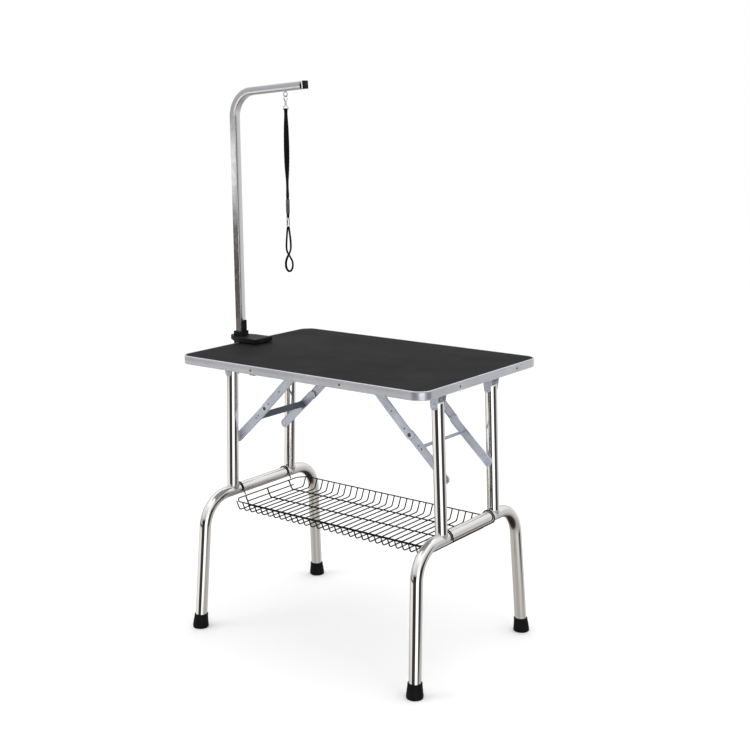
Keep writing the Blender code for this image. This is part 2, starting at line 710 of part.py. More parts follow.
def lock_knob():
    """Thumb screw through the sleeve's outer wall; height runs from its tip on the arm outwards."""
    tip = ARM_X - ARM_SIDE / 2 - GAP
    reach = tip - LOCK_END_X
    neck = tip - (ARM_X - SLEEVE_HALF) + 0.003
    profile = [
        (0.0, reach),
        (0.0090, reach),
        (0.0110, reach - 0.0015),
        (0.0110, neck + 0.0015),
        (0.0080, neck),
        (LOCK_SCREW_RADIUS, neck),
        (LOCK_SCREW_RADIUS, 0.0),
        (0.0, 0.0),
    ]
    return turned(profile, (tip, 0, LOCK_Z), (-1, 0, 0))


def arm_path():
    turn = math.pi / 2 - ARM_RISE
    tangent = ARM_BEND_RADIUS * math.tan(turn / 2)
    centre = (ARM_X + ARM_BEND_RADIUS, ARM_CORNER_Z - tangent)
    bend = arc(centre, ARM_BEND_RADIUS, 180, 180 - math.degrees(turn), 12)
    run = ARM_END_X - ARM_X
    end = (ARM_END_X, ARM_CORNER_Z + run * math.tan(ARM_RISE))
    return [(ARM_X, ARM_BOTTOM_Z)] + bend + [end]


def arm(frame):
    """Square tube bent over the table, with its end cap and the eye bolt that the noose clips on."""
    slide = pivot("arm_slide", (ARM_X, 0, SLEEVE_BOTTOM_Z), frame)
    section = bpy.data.curves.new("arm_section", "CURVE")
    section.dimensions = "2D"
    outline = section.splines.new("POLY")
    corners = rounded_rectangle(ARM_SIDE / 2, ARM_SIDE / 2, ARM_CORNER_RADIUS, 3)
    outline.points.add(len(corners) - 1)
    for point, (x, y) in zip(outline.points, corners):
        point.co = (x, y, 0.0, 1.0)
    outline.use_cyclic_u = True
    section_guide = bpy.data.objects.new("arm_section", section)
    guides.objects.link(section_guide)
    path = tube_curve([(x, 0.0, z) for x, z in arm_path()], 0.0, 8, caps=False)
    path.data.bevel_mode = "OBJECT"
    path.data.bevel_object = section_guide
    tube = as_mesh(path)
    bpy.data.objects.remove(section_guide, do_unlink=True)
    shell = tube.modifiers.new("wall", "SOLIDIFY")
    shell.thickness = ARM_WALL
    shell.offset = -1.0
    tube = as_mesh(tube)
    combine(tube, rod((EYE_X, 0, EYE_Z), (EYE_X, 0, EYE_STEM_TOP_Z), 0.0028, 16), "DIFFERENCE")
    attach(finish(tube, "arm_tube", CHROME), slide)
    attach(finish(arm_cap(), "arm_end_cap", CLAMP_BLACK), slide)
    attach(finish(arm_eye(), "arm_eye_bolt", ZINC), slide)
    return slide


def arm_cap():
    """Plastic plug in the end of the arm: a flange as wide as the tube, and a block inside it."""
    half = ARM_SIDE / 2
    inside = half - ARM_WALL - GAP
    flange = rounded_rectangle(half + GAP, half + GAP, ARM_CORNER_RADIUS + GAP, 3)
    cap = plate([flange], GAP, CAP_THICKNESS)
    plug = rounded_rectangle(inside, inside, ARM_CORNER_RADIUS, 3)
    combine(cap, plate([plug], -PLUG_LENGTH, GAP + 0.0005), "UNION")
    end_x, end_z = arm_path()[-1]
    turn = Matrix.Rotation(math.pi / 2 - ARM_RISE, 4, "Y")
    cap.data.transform(Matrix.Translation((end_x, 0, end_z)) @ turn)
    return cap


def arm_eye():
    """Eye bolt: a ring whose hole faces along Y, and a stem up through the arm's lower wall."""
    ring = [(EYE_X + x, 0.0, EYE_Z + z) for x, z in circle((0, 0), EYE_RADIUS, 20)]
    eye = wire(ring, EYE_WIRE, 8, cyclic=True)
    stem = rod((EYE_X, 0, EYE_Z + EYE_RADIUS - 0.0005), (EYE_X, 0, EYE_STEM_TOP_Z - 0.002), 0.0022, 16)
    return combine(eye, stem, "UNION")


def noose(slide):
    """Snap hook in the eye, swivel, doubled strap with its keeper and slider, and the loop."""
    swing = pivot("noose_swing", (EYE_X, 0, EYE_Z), slide)
    hook_z = EYE_Z - EYE_RADIUS - EYE_WIRE - GAP - HOOK_WIRE
    curl = [(y, hook_z + z) for y, z in arc((0, 0), HOOK_RADIUS, 20, 270, 14)]
    hook = wire([(EYE_X, y, z) for y, z in curl], HOOK_WIRE, 8)
    barrel_top = hook_z - HOOK_RADIUS
    barrel_profile = [
        (0.0, 0.0015),
        (0.0028, 0.0015),
        (0.0034, -0.0005),
        (0.0034, -BARREL_LENGTH + 0.0015),
        (0.0026, -BARREL_LENGTH),
        (0.0, -BARREL_LENGTH),
    ]
    combine(hook, turned(barrel_profile, (EYE_X, 0, barrel_top), (0, 0, 1), 16), "UNION")
    attach(finish(hook, "snap_hook", CHROME), swing)
    gate_low = (0.0052, hook_z - 0.0045)
    gate_high = (0.0066, hook_z + 0.0005)
    gate = rod((EYE_X, *gate_low), (EYE_X, *gate_high), 0.0012, 12)
    gate_axis = pivot("snap_gate_slide", (EYE_X, *gate_low), swing)
    attach(finish(gate, "snap_gate", CHROME), gate_axis)
    swivel_axis = pivot("noose_swivel", (EYE_X, 0, barrel_top - BARREL_LENGTH), swing)
    swivel_top = barrel_top - BARREL_LENGTH - GAP
    attach(finish(swivel(swivel_top), "snap_swivel", CHROME), swivel_axis)
    strap = wire(strap_path(), STRAP_RADIUS, 8)
    attach(finish(strap, "noose_strap", STRAP_BLACK), swivel_axis)
    rounds = [(SLEEVE_OUTER, KEEPER_TOP_Z), (SLEEVE_OUTER, KEEPER_BOTTOM_Z)]
    keeper_profile = rounds + [(SLEEVE_BORE, z) for _, z in reversed(rounds)]
    keeper = turned(keeper_profile, (EYE_X, 0, 0), (0, 0, 1), 16)
    attach(finish(keeper, "noose_keeper", STRAP_BLACK), swivel_axis)
    slider_axis = pivot("noose_slider_slide", (EYE_X, 0, SLIDER_TOP_Z), swivel_axis)
    slider_profile = [
        (0.0046, SLIDER_TOP_Z),
        (SLEEVE_OUTER, SLIDER_TOP_Z - 0.0012),
        (SLEEVE_OUTER, SLIDER_BOTTOM_Z + 0.0012),
        (0.0046, SLIDER_BOTTOM_Z),
        (SLEEVE_BORE, SLIDER_BOTTOM_Z),
        (SLEEVE_BORE, SLIDER_TOP_Z),
    ]
    slider = turned(slider_profile, (EYE_X, 0, 0), (0, 0, 1), 16)
    attach(finish(slider, "noose_slider", CHROME), slider_axis)
    loop = wire([(EYE_X + x, y, z) for x, y, z in smooth(LOOP_POINTS, 3)], LOOP_RADIUS, 8)
    attach(finish(loop, "noose_loop", STRAP_BLACK), swivel_axis)


def swivel(top):
    """Stud and bail that turn under the hook; the strap passes through the bail."""
    half_width = BAIL_HALF_WIDTH
    bail_top, bail_low = top - 0.0030, top - 0.0115
    corners = [
        (half_width, bail_low),
        (half_width, bail_top - 0.003),
        (half_width - 0.004, bail_top),
        (-half_width + 0.004, bail_top),
        (-half_width, bail_top - 0.003),
        (-half_width, bail_low),
    ]
    bail = wire([(EYE_X + x, 0.0, z) for x, z in corners], BAIL_WIRE, 8, cyclic=True)
    return combine(bail, rod((EYE_X, 0, bail_top - 0.0005), (EYE_X, 0, top), 0.0026, 16), "UNION")


def strap_path():
    count = 36
    step = (STRAP_BOTTOM_Z - STRAP_TOP_Z) / count
    return [(EYE_X, 0.0, STRAP_TOP_Z + step * i) for i in range(count + 1)]


def smooth(points, steps):
    """Points on a smooth curve through the given points (Catmull-Rom)."""
    knots = [Vector(p) for p in points]
    knots = [knots[0] * 2 - knots[1]] + knots + [knots[-1] * 2 - knots[-2]]
    out = []
    for a, b, c, d in zip(knots, knots[1:], knots[2:], knots[3:]):
        for i in range(steps):
            t = i / steps
            square = (2 * a - 5 * b + 4 * c - d) * t**2
            cube = (3 * b - a - 3 * c + d) * t**3
            out.append(0.5 * (2 * b + (c - a) * t + square + cube))
    return out + [knots[-2]]


# Finishes: colour, roughness, metallic
ALUMINIUM = ((0.55, 0.56, 0.58), 0.35, 1.0)
MAT_BLACK = ((0.025, 0.025, 0.026), 0.75, 0.0)
BOARD_GREY = ((0.30, 0.30, 0.31), 0.7, 0.0)
STEEL = ((0.62, 0.60, 0.58), 0.12, 1.0)
CHROME = ((0.70, 0.70, 0.70), 0.10, 1.0)
ZINC = ((0.50, 0.54, 0.58), 0.42, 0.9)
RUBBER = ((0.010, 0.010, 0.010), 0.8, 0.0)
WIRE_BLACK = ((0.012, 0.012, 0.013), 0.4, 0.0)
CLAMP_BLACK = ((0.015, 0.015, 0.016), 0.45, 0.0)
STRAP_BLACK = ((0.012, 0.012, 0.012), 0.85, 0.0)

clear_scene()
parts = bpy.data.collections.new("grooming_table")
guides = bpy.data.collections.new("guides")
for group in (parts, guides):
    bpy.context.scene.collection.children.link(group)
pivots = {}

floor_frame = pivot("table_frame", (0, 0, 0))
board_underside = table_top(floor_frame)
leg_set("left", -1, floor_frame, board_underside)
leg_set("right", 1, floor_frame, board_underside)
basket(floor_frame)
clamp(floor_frame)
noose(arm(floor_frame))
floor_frame.location.x = -CENTRE_X
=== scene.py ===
# %% [markdown]
# # Folding pet grooming table
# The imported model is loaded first. It holds every rigid part at its real size, and its bodies and joints.
# This script gives those parts their finishes, and swaps the plain solids for finer surfaces that lie in
# the same places. Each new piece rides on the body of the solid that it stands for, so it folds and
# slides with it.

# %% Load the frame
import json
import math

import bmesh
import bpy
import numpy as np
from mathutils import Matrix, Vector


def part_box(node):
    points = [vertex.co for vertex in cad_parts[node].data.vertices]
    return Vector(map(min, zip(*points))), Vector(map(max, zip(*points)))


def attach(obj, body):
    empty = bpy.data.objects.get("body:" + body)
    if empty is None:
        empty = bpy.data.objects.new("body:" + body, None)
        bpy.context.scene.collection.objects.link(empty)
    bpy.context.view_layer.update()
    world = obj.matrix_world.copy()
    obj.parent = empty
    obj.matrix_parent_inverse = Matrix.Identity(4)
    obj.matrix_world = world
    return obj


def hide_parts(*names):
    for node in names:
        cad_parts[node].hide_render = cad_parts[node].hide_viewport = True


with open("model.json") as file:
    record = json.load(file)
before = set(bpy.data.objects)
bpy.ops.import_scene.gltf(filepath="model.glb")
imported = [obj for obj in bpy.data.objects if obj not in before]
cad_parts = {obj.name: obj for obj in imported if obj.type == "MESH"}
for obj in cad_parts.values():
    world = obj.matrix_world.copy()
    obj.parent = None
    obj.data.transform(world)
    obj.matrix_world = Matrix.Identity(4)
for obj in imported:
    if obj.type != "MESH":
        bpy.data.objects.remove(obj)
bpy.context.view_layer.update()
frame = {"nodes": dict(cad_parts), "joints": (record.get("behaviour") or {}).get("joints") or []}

# %% [markdown]
# Places come from the frame: the joints give the hinge places and the boxes of the nodes give the edges.
# The table's own middle is a little to the right of the frame's origin, because the arm's lock knob
# sticks out to the left.

# %% Read the driving places from the frame
ENDS = (("left", -1), ("right", 1))
SIDES = (("front", -1), ("back", 1))
HINGES = {j["name"]: np.array(j["pos_m"], float) for j in frame["joints"] if "pos_m" in j}


def box(node):
    """Lowest and highest corner of a node, as two arrays."""
    return tuple(np.array(corner, float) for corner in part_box(node))


TRIM_LOW, TRIM_HIGH = box("edge_trim")
MIDDLE_X = (TRIM_LOW[0] + TRIM_HIGH[0]) / 2
LEG_X = HINGES["right_leg_fold"][0] - MIDDLE_X
LEG_Z = HINGES["right_leg_fold"][2]
FOOT_LOW, FOOT_HIGH = box("right_back_foot")
FOOT_X = (FOOT_LOW[0] + FOOT_HIGH[0]) / 2 - MIDDLE_X
FOOT_Y = (FOOT_LOW[1] + FOOT_HIGH[1]) / 2
LEAN = math.atan2(FOOT_X - LEG_X, LEG_Z)
print("table middle x", round(MIDDLE_X, 4), "legs lean", round(math.degrees(LEAN), 2), "degrees")

# %% [markdown]
# ## Camera
# The camera stands in front of the right corner, a little above the top, and looks down at the middle of
# the table through a long lens, so that the upright edges stay almost parallel.

# %% Place the camera
CAMERA_PLACE = (2.0737, -2.6031, 1.4304)
CAMERA_TURN = -0.65166
CAMERA_DOWN = 0.20922
CAMERA_ROLL = -0.0074
CAMERA_LENS = 60.29


def camera_axes():
    """Right, up and forward: the heading tipped down and a level right, both rolled about forward."""
    flat = math.cos(CAMERA_DOWN)
    sin_turn, cos_turn = math.sin(CAMERA_TURN), math.cos(CAMERA_TURN)
    forward = np.array((sin_turn * flat, cos_turn * flat, -math.sin(CAMERA_DOWN)))
    right = np.array((cos_turn, -sin_turn, 0.0))
    up = np.cross(right, forward)
    cos, sin = math.cos(CAMERA_ROLL), math.sin(CAMERA_ROLL)
    return right * cos + up * sin, up * cos - right * sin, forward


RIGHT, UP, FORWARD = camera_axes()
camera = bpy.data.objects.new("camera", bpy.data.cameras.new("camera"))
camera.data.lens = CAMERA_LENS
camera.data.clip_end = 60.0
turn = Matrix(np.column_stack((RIGHT, UP, -FORWARD)).tolist()).to_4x4()
camera.matrix_world = Matrix.Translation(CAMERA_PLACE) @ turn
bpy.context.scene.collection.objects.link(camera)
bpy.context.scene.camera = camera
print("camera at", CAMERA_PLACE, "lens", CAMERA_LENS)

# %% [markdown]
# ## Studio
# Polished tube shows nothing but its surroundings, so the room is as much a part of the look as the metal
# is. A product studio has tall white walls with dark gaps between them. Upright tubes squeeze the whole
# room into thin stripes, and this is what makes them look like chrome. The sky shader below paints those
# walls as bands round the horizon, counted in degrees to the right of the camera. Only mirror-like
# reflections see the bands: the light on matt surfaces and the background stay plain and pale.

# %% Paint the studio
SOFT_LIGHT = 1.06
BACKDROP_LIGHT = 1.0
FLOOR_COLOUR = (0.97, 0.97, 0.97)
WALL_BANDS = (
    (-180, (0.40, 0.38, 0.36)),
    (-132, (0.55, 0.52, 0.49)),
    (-118, (0.92, 0.90, 0.88)),
    (-66, (1.00, 0.99, 0.98)),
    (-61, (0.010, 0.010, 0.010)),
    (-7, (0.008, 0.008, 0.008)),
    (-3, (1.50, 1.50, 1.50)),
    (38, (1.50, 1.50, 1.50)),
    (42, (0.012, 0.011, 0.012)),
    (90, (0.035, 0.032, 0.034)),
    (97, (0.60, 0.59, 0.59)),
    (140, (0.82, 0.81, 0.80)),
    (180, (0.40, 0.38, 0.36)),
)
LEFT_WALL = (
    (-0.230, (1.00, 0.97, 0.93)),
    (-0.205, (0.80, 0.76, 0.70)),
    (-0.185, (0.13, 0.11, 0.095)),
    (-0.130, (0.055, 0.045, 0.038)),
    (-0.085, (0.15, 0.14, 0.13)),
    (-0.055, (0.95, 0.95, 0.95)),
    (-0.030, (0.90, 0.90, 0.90)),
    (-0.012, (0.36, 0.36, 0.38)),
    (0.060, (0.44, 0.44, 0.46)),
    (0.300, (0.70, 0.70, 0.70)),
)
LEFT_WALL_SHARE = ((-128, 0.0), (-120, 1.0), (-67, 1.0), (-63, 0.0))
HEIGHT_BANDS = (
    (-1.00, (0.02, 0.02, 0.02), 0.0),
    (-0.80, (0.05, 0.045, 0.04), 0.0),
    (-0.66, (0.40, 0.38, 0.36), 0.0),
    (-0.43, (0.50, 0.48, 0.45), 0.10),
    (-0.360, (0.60, 0.58, 0.56), 0.25),
    (-0.322, (0.50, 0.48, 0.46), 0.92),
    (0.10, (0.90, 0.90, 0.90), 1.0),
    (0.24, (0.95, 0.95, 0.95), 0.35),
    (0.62, (1.00, 1.00, 1.00), 0.15),
    (0.86, (1.30, 1.30, 1.30), 0.0),
    (1.00, (0.55, 0.52, 0.50), 0.0),
)


def ramp(nodes, stops, name):
    """Colour ramp from (position, colour) stops."""
    made = nodes.new("ShaderNodeValToRGB")
    made.label = name
    elements = made.color_ramp.elements
    elements[0].position, elements[1].position = stops[0][0], stops[-1][0]
    elements[0].color, elements[1].color = (*stops[0][1], 1.0), (*stops[-1][1], 1.0)
    for position, colour in stops[1:-1]:
        elements.new(position).color = (*colour, 1.0)
    return made


def studio_world():
    """Sky in three versions: white behind everything, plain soft light on matt surfaces, and, for mirrors,
    bands looked up by the angle round the horizon and by the height of the reflected ray."""
    world = bpy.data.worlds.new("studio")
    bpy.context.scene.world = world
    world.use_nodes = True
    nodes, links = world.node_tree.nodes, world.node_tree.links
    nodes.clear()
    way = nodes.new("ShaderNodeTexCoord").outputs["Generated"]
    flat = np.array((FORWARD[0], FORWARD[1], 0.0))
    flat = flat / np.linalg.norm(flat)
    parts = []
    for direction in (-flat, np.array((flat[1], -flat[0], 0.0))):
        dot = nodes.new("ShaderNodeVectorMath")
        dot.operation = "DOT_PRODUCT"
        dot.inputs[1].default_value = direction
        links.new(way, dot.inputs[0])
        parts.append(dot.outputs["Value"])
    heading = nodes.new("ShaderNodeMath")
    heading.operation = "ARCTAN2"
    links.new(parts[1], heading.inputs[0])
    links.new(parts[0], heading.inputs[1])
    around = nodes.new("ShaderNodeMapRange")
    around.inputs["From Min"].default_value = -math.pi
    around.inputs["From Max"].default_value = math.pi
    links.new(heading.outputs[0], around.inputs["Value"])
    walls = ramp(nodes, [((angle + 180) / 360, colour) for angle, colour in WALL_BANDS], "walls")
    links.new(around.outputs[0], walls.inputs[0])
    left_stops = [((angle + 180) / 360, (part,) * 3) for angle, part in LEFT_WALL_SHARE]
    left_share = ramp(nodes, left_stops, "left share")
    links.new(around.outputs[0], left_share.inputs[0])
    split = nodes.new("ShaderNodeSeparateXYZ")
    links.new(way, split.inputs[0])
    level = nodes.new("ShaderNodeMapRange")
    level.inputs["From Min"].default_value = -1.0
    links.new(split.outputs["Z"], level.inputs["Value"])
    caps = ramp(nodes, [((z + 1) / 2, colour) for z, colour, share in HEIGHT_BANDS], "floor and ceiling")
    share = ramp(nodes, [((z + 1) / 2, (part,) * 3) for z, colour, part in HEIGHT_BANDS], "share of wall")
    left = ramp(nodes, [((z + 1) / 2, colour) for z, colour in LEFT_WALL], "left wall")
    links.new(level.outputs[0], left.inputs[0])
    links.new(level.outputs[0], caps.inputs[0])
    links.new(level.outputs[0], share.inputs[0])
    painted = nodes.new("ShaderNodeMix")
    painted.data_type = "RGBA"
    links.new(left_share.outputs[0], painted.inputs[0])
    links.new(walls.outputs[0], painted.inputs[6])
    links.new(left.outputs[0], painted.inputs[7])
    room = nodes.new("ShaderNodeMix")
    room.data_type = "RGBA"
    links.new(share.outputs[0], room.inputs[0])
    links.new(caps.outputs[0], room.inputs[6])
    links.new(painted.outputs[2], room.inputs[7])
    mirrors = nodes.new("ShaderNodeBackground")
    links.new(room.outputs[2], mirrors.inputs["Color"])
    soft = nodes.new("ShaderNodeBackground")
    soft.inputs["Color"].default_value = (1.0, 1.0, 1.0, 1.0)
    soft.inputs["Strength"].default_value = SOFT_LIGHT
    backdrop = nodes.new("ShaderNodeBackground")
    backdrop.inputs["Color"].default_value = (1.0, 1.0, 1.0, 1.0)
    backdrop.inputs["Strength"].default_value = BACKDROP_LIGHT
    rays = nodes.new("ShaderNodeLightPath")
    first = nodes.new("ShaderNodeMixShader")
    links.new(rays.outputs["Is Glossy Ray"], first.inputs[0])
    links.new(soft.outputs[0], first.inputs[1])
    links.new(mirrors.outputs[0], first.inputs[2])
    last = nodes.new("ShaderNodeMixShader")
    links.new(rays.outputs["Is Camera Ray"], last.inputs[0])
    links.new(first.outputs[0], last.inputs[1])
    links.new(backdrop.outputs[0], last.inputs[2])
    links.new(last.outputs[0], nodes.new("ShaderNodeOutputWorld").inputs[0])


studio_world()
bpy.context.scene.view_settings.view_transform = "Standard"
print(len(WALL_BANDS), "wall bands,", len(HEIGHT_BANDS), "height bands")

# %% Hang the lights
LIGHTS = (
    ("key", (-2.2, -2.4, 3.2), (1.6, 1.6), 22.0),
    ("fill", (2.9, -0.9, 2.3), (1.4, 1.8), 8.0),
    ("top", (0.3, 0.6, 3.4), (2.4, 2.0), 14.0),
)
AIM = Vector((0.0, 0.0, 0.75))

for name, place, size, power in LIGHTS:
    lamp = bpy.data.lights.new(name, "AREA")
    lamp.shape = "RECTANGLE"
    lamp.size, lamp.size_y = size
    lamp.energy = power
    holder = bpy.data.objects.new(name, lamp)
    holder.location = place
    holder.rotation_mode = "QUATERNION"
    holder.rotation_quaternion = (AIM - Vector(place)).to_track_quat("-Z", "Y")
    holder.visible_glossy = False
    bpy.context.scene.collection.objects.link(holder)
print(len(LIGHTS), "soft lights")

# %% [markdown]
# ## Finishes
# Every finish is one Principled shader with procedural detail: draw lines along polished tube, brushing
# along the edging, pebbles on the rubber, weave on the strap. Patterns that must follow a bent piece read
# its UV map, which all the swept pieces below carry in metres: across first, along second. The others
# read Object coordinates, which are metres too.

# %% Helpers for finishes
FINISHES = {}


def start_finish(name, colour, roughness, metallic=0.0, **sockets):
    """A Principled material; keyword names are its socket names with _ for a space."""
    made = bpy.data.materials.new(name)
    made.use_nodes = True
    shader = made.node_tree.nodes["Principled BSDF"]
    shader.inputs["Base Color"].default_value = (*colour, 1.0)
    shader.inputs["Roughness"].default_value = roughness
    shader.inputs["Metallic"].default_value = metallic
    for socket, value in sockets.items():
        shader.inputs[socket.replace("_", " ")].default_value = value
    FINISHES[name] = made
    return made.node_tree, shader


def stretched(tree, kind, scale, turn=(0.0, 0.0, 0.0)):
    """Coordinates of one kind, Object or UV, multiplied by a scale in each direction."""
    mapping = tree.nodes.new("ShaderNodeMapping")
    mapping.inputs["Scale"].default_value = scale
    mapping.inputs["Rotation"].default_value = turn
    tree.links.new(tree.nodes.new("ShaderNodeTexCoord").outputs[kind], mapping.inputs["Vector"])
    return mapping.outputs["Vector"]


def metres(tree):
    """Object coordinates just as they are."""
    return stretched(tree, "Object", (1.0, 1.0, 1.0))


def noise(tree, where, scale=1.0, detail=3.0):
    made = tree.nodes.new("ShaderNodeTexNoise")
    made.inputs["Scale"].default_value = scale
    made.inputs["Detail"].default_value = detail
    tree.links.new(where, made.inputs["Vector"])
    return made.outputs["Fac"]


def spread(tree, source, low, high, start=0.3, end=0.7):
    """Stretch a pattern's middle range to run from low to high."""
    made = tree.nodes.new("ShaderNodeMapRange")
    for socket, value in (("From Min", start), ("From Max", end), ("To Min", low), ("To Max", high)):
        made.inputs[socket].default_value = value
    tree.links.new(source, made.inputs["Value"])
    return made.outputs[0]


def blend_colours(tree, shader, pattern, dark, light):
    """Base colour that runs from dark to light with a pattern."""
    mix = tree.nodes.new("ShaderNodeMix")
    mix.data_type = "RGBA"
    mix.inputs[6].default_value = (*dark, 1.0)
    mix.inputs[7].default_value = (*light, 1.0)
    tree.links.new(pattern, mix.inputs[0])
    tree.links.new(mix.outputs[2], shader.inputs["Base Color"])


def relief(tree, shader, height, depth, strength=1.0, below=None):
    """Bump of a depth in metres, stacked on another bump if one is given."""
    bump = tree.nodes.new("ShaderNodeBump")
    bump.inputs["Distance"].default_value = depth
    bump.inputs["Strength"].default_value = strength
    tree.links.new(height, bump.inputs["Height"])
    if below:
        tree.links.new(below, bump.inputs["Normal"])
    tree.links.new(bump.outputs["Normal"], shader.inputs["Normal"])
    return bump.outputs["Normal"]


# %% Polished, plated and brushed metals
def polished_tube():
    """Stainless tube: fine draw lines along its length, and broad, faint waves in its roughness."""
    tree, shader = start_finish("polished_steel", (0.84, 0.83, 0.82), 0.05, 1.0)
    lines = noise(tree, stretched(tree, "UV", (2600.0, 6.0, 1.0)), 1.0, 2.0)
    waves = noise(tree, stretched(tree, "UV", (30.0, 9.0, 1.0)), 1.0, 2.0)
    tree.links.new(spread(tree, waves, 0.03, 0.08), shader.inputs["Roughness"])
    blend_colours(tree, shader, spread(tree, lines, 0.0, 1.0), (0.80, 0.785, 0.77), (0.88, 0.875, 0.865))
    relief(tree, shader, lines, 0.000002, 0.4)


def chrome_plate():
    """Bright plating with a slight orange peel and a few hazy patches."""
    tree, shader = start_finish("chrome", (0.86, 0.86, 0.87), 0.06, 1.0)
    where = metres(tree)
    haze = noise(tree, where, 60.0, 3.0)
    tree.links.new(spread(tree, haze, 0.04, 0.14), shader.inputs["Roughness"])
    relief(tree, shader, noise(tree, where, 700.0, 1.0), 0.00001, 0.25)


def zinc_plate():
    """Pressed steel with bluish zinc: soft crystal patches and fine rolling marks."""
    tree, shader = start_finish("zinc_steel", (0.60, 0.65, 0.74), 0.40, 0.75)
    where = metres(tree)
    crystals = tree.nodes.new("ShaderNodeTexVoronoi")
    crystals.inputs["Scale"].default_value = 140.0
    tree.links.new(where, crystals.inputs["Vector"])
    cloud = noise(tree, where, 24.0, 4.0)
    blend_colours(tree, shader, spread(tree, cloud, 0.0, 1.0), (0.60, 0.65, 0.75), (0.76, 0.81, 0.90))
    patches = spread(tree, crystals.outputs["Color"], 0.34, 0.50, 0.0, 1.0)
    tree.links.new(patches, shader.inputs["Roughness"])
    relief(tree, shader, noise(tree, where, 900.0, 2.0), 0.00003, 0.35)


def dull_steel(name, colour, lighter):
    """Dull steel: darker than bright zinc, with small burnished spots. For the left crossbar the darker
    colour is painted shade, not a different metal.
    """
    tree, shader = start_finish(name, colour, 0.42, 0.7)
    spots = noise(tree, metres(tree), 420.0, 2.0)
    blend_colours(tree, shader, spread(tree, spots, 0.0, 1.0), colour, lighter)
    relief(tree, shader, spots, 0.00003, 0.4)


def satin_edging():
    """Extruded aluminium: straight satin lines that run along the edging."""
    tree, shader = start_finish("edge_aluminium", (0.66, 0.68, 0.73), 0.32, 0.88)
    lines = noise(tree, stretched(tree, "UV", (3000.0, 4.0, 1.0)), 1.0, 2.0)
    patches = spread(tree, noise(tree, metres(tree), 14.0, 3.0), 0.0, 1.0)
    blend_colours(tree, shader, patches, (0.60, 0.615, 0.665), (0.70, 0.715, 0.765))
    tree.links.new(spread(tree, lines, 0.27, 0.42), shader.inputs["Roughness"])
    relief(tree, shader, lines, 0.00001, 0.5)


polished_tube()
chrome_plate()
zinc_plate()
dull_steel("rivets", (0.055, 0.058, 0.065), (0.16, 0.165, 0.18))
# Painted shade: the left crossbar is zinc like the right one, given a darker colour because it lies in shade
# under the table.
dull_steel("shaded_zinc", (0.13, 0.145, 0.18), (0.20, 0.22, 0.26))
satin_edging()
print("metals:", ", ".join(FINISHES))

# %% Rubber, plastic, board and webbing
def pebbled_mat():
    """Non-slip rubber: flat pebbles about 1.5 mm across, with lightly scuffed patches."""
    tree, shader = start_finish("mat_rubber", (0.008, 0.008, 0.0082), 0.60, 0.0, Specular_IOR_Level=0.05)
    where = metres(tree)
    pebbles = tree.nodes.new("ShaderNodeTexVoronoi")
    pebbles.feature = "SMOOTH_F1"
    pebbles.inputs["Scale"].default_value = 650.0
    tree.links.new(where, pebbles.inputs["Vector"])
    scuffs = noise(tree, where, 7.0, 4.0)
    worn = spread(tree, scuffs, 0.0, 1.0)
    blend_colours(tree, shader, worn, (0.0075, 0.0075, 0.0077), (0.0105, 0.0104, 0.0105))
    tree.links.new(spread(tree, scuffs, 0.50, 0.62), shader.inputs["Roughness"])
    relief(tree, shader, pebbles.outputs["Distance"], 0.00018, 0.45)


def grey_board():
    """Faced fibreboard, seen from below: pressed fibres and a mottled grey."""
    tree, shader = start_finish("board", (0.30, 0.30, 0.31), 0.72)
    where = metres(tree)
    fibres = noise(tree, stretched(tree, "Object", (260.0, 900.0, 400.0)), 1.0, 4.0)
    mottle = spread(tree, noise(tree, where, 90.0, 5.0), 0.0, 1.0)
    blend_colours(tree, shader, mottle, (0.22, 0.22, 0.225), (0.36, 0.355, 0.35))
    relief(tree, shader, fibres, 0.0001, 0.4)


def moulded(name, colour, lighter, roughness, grain, depth):
    """Moulded rubber or plastic: fine spark texture and a slightly cloudy gloss."""
    tree, shader = start_finish(name, colour, roughness, 0.0, Specular_IOR_Level=0.10)
    where = metres(tree)
    cloud = noise(tree, where, 45.0, 3.0)
    blend_colours(tree, shader, spread(tree, cloud, 0.0, 1.0), colour, lighter)
    tree.links.new(spread(tree, cloud, roughness - 0.06, roughness + 0.06), shader.inputs["Roughness"])
    relief(tree, shader, noise(tree, where, grain, 2.0), depth, 0.4)


def woven_strap(name, colour, lighter):
    """Flat webbing: slanting ribs along the strap, crossed by the weft, from two waves on the UV map."""
    gloss = {"Specular_IOR_Level": 0.06, "Sheen_Weight": 0.01, "Sheen_Roughness": 0.5}
    tree, shader = start_finish(name, colour, 0.88, 0.0, **gloss)
    heights = []
    for slant in (0.75, -0.75):
        wave = tree.nodes.new("ShaderNodeTexWave")
        wave.inputs["Scale"].default_value = 1.0
        wave.inputs["Distortion"].default_value = 0.6
        slanted = stretched(tree, "UV", (190.0, 230.0, 1.0), (0.0, 0.0, slant))
        tree.links.new(slanted, wave.inputs["Vector"])
        heights.append(wave.outputs["Fac"])
    ribs = tree.nodes.new("ShaderNodeMath")
    ribs.operation = "MAXIMUM"
    for source, socket in zip(heights, ribs.inputs):
        tree.links.new(source, socket)
    blend_colours(tree, shader, spread(tree, ribs.outputs[0], 0.0, 1.0, 0.2, 1.0), colour, lighter)
    fuzz = relief(tree, shader, noise(tree, metres(tree), 2500.0, 2.0), 0.00005, 0.5)
    relief(tree, shader, ribs.outputs[0], 0.00025, 0.8, fuzz)


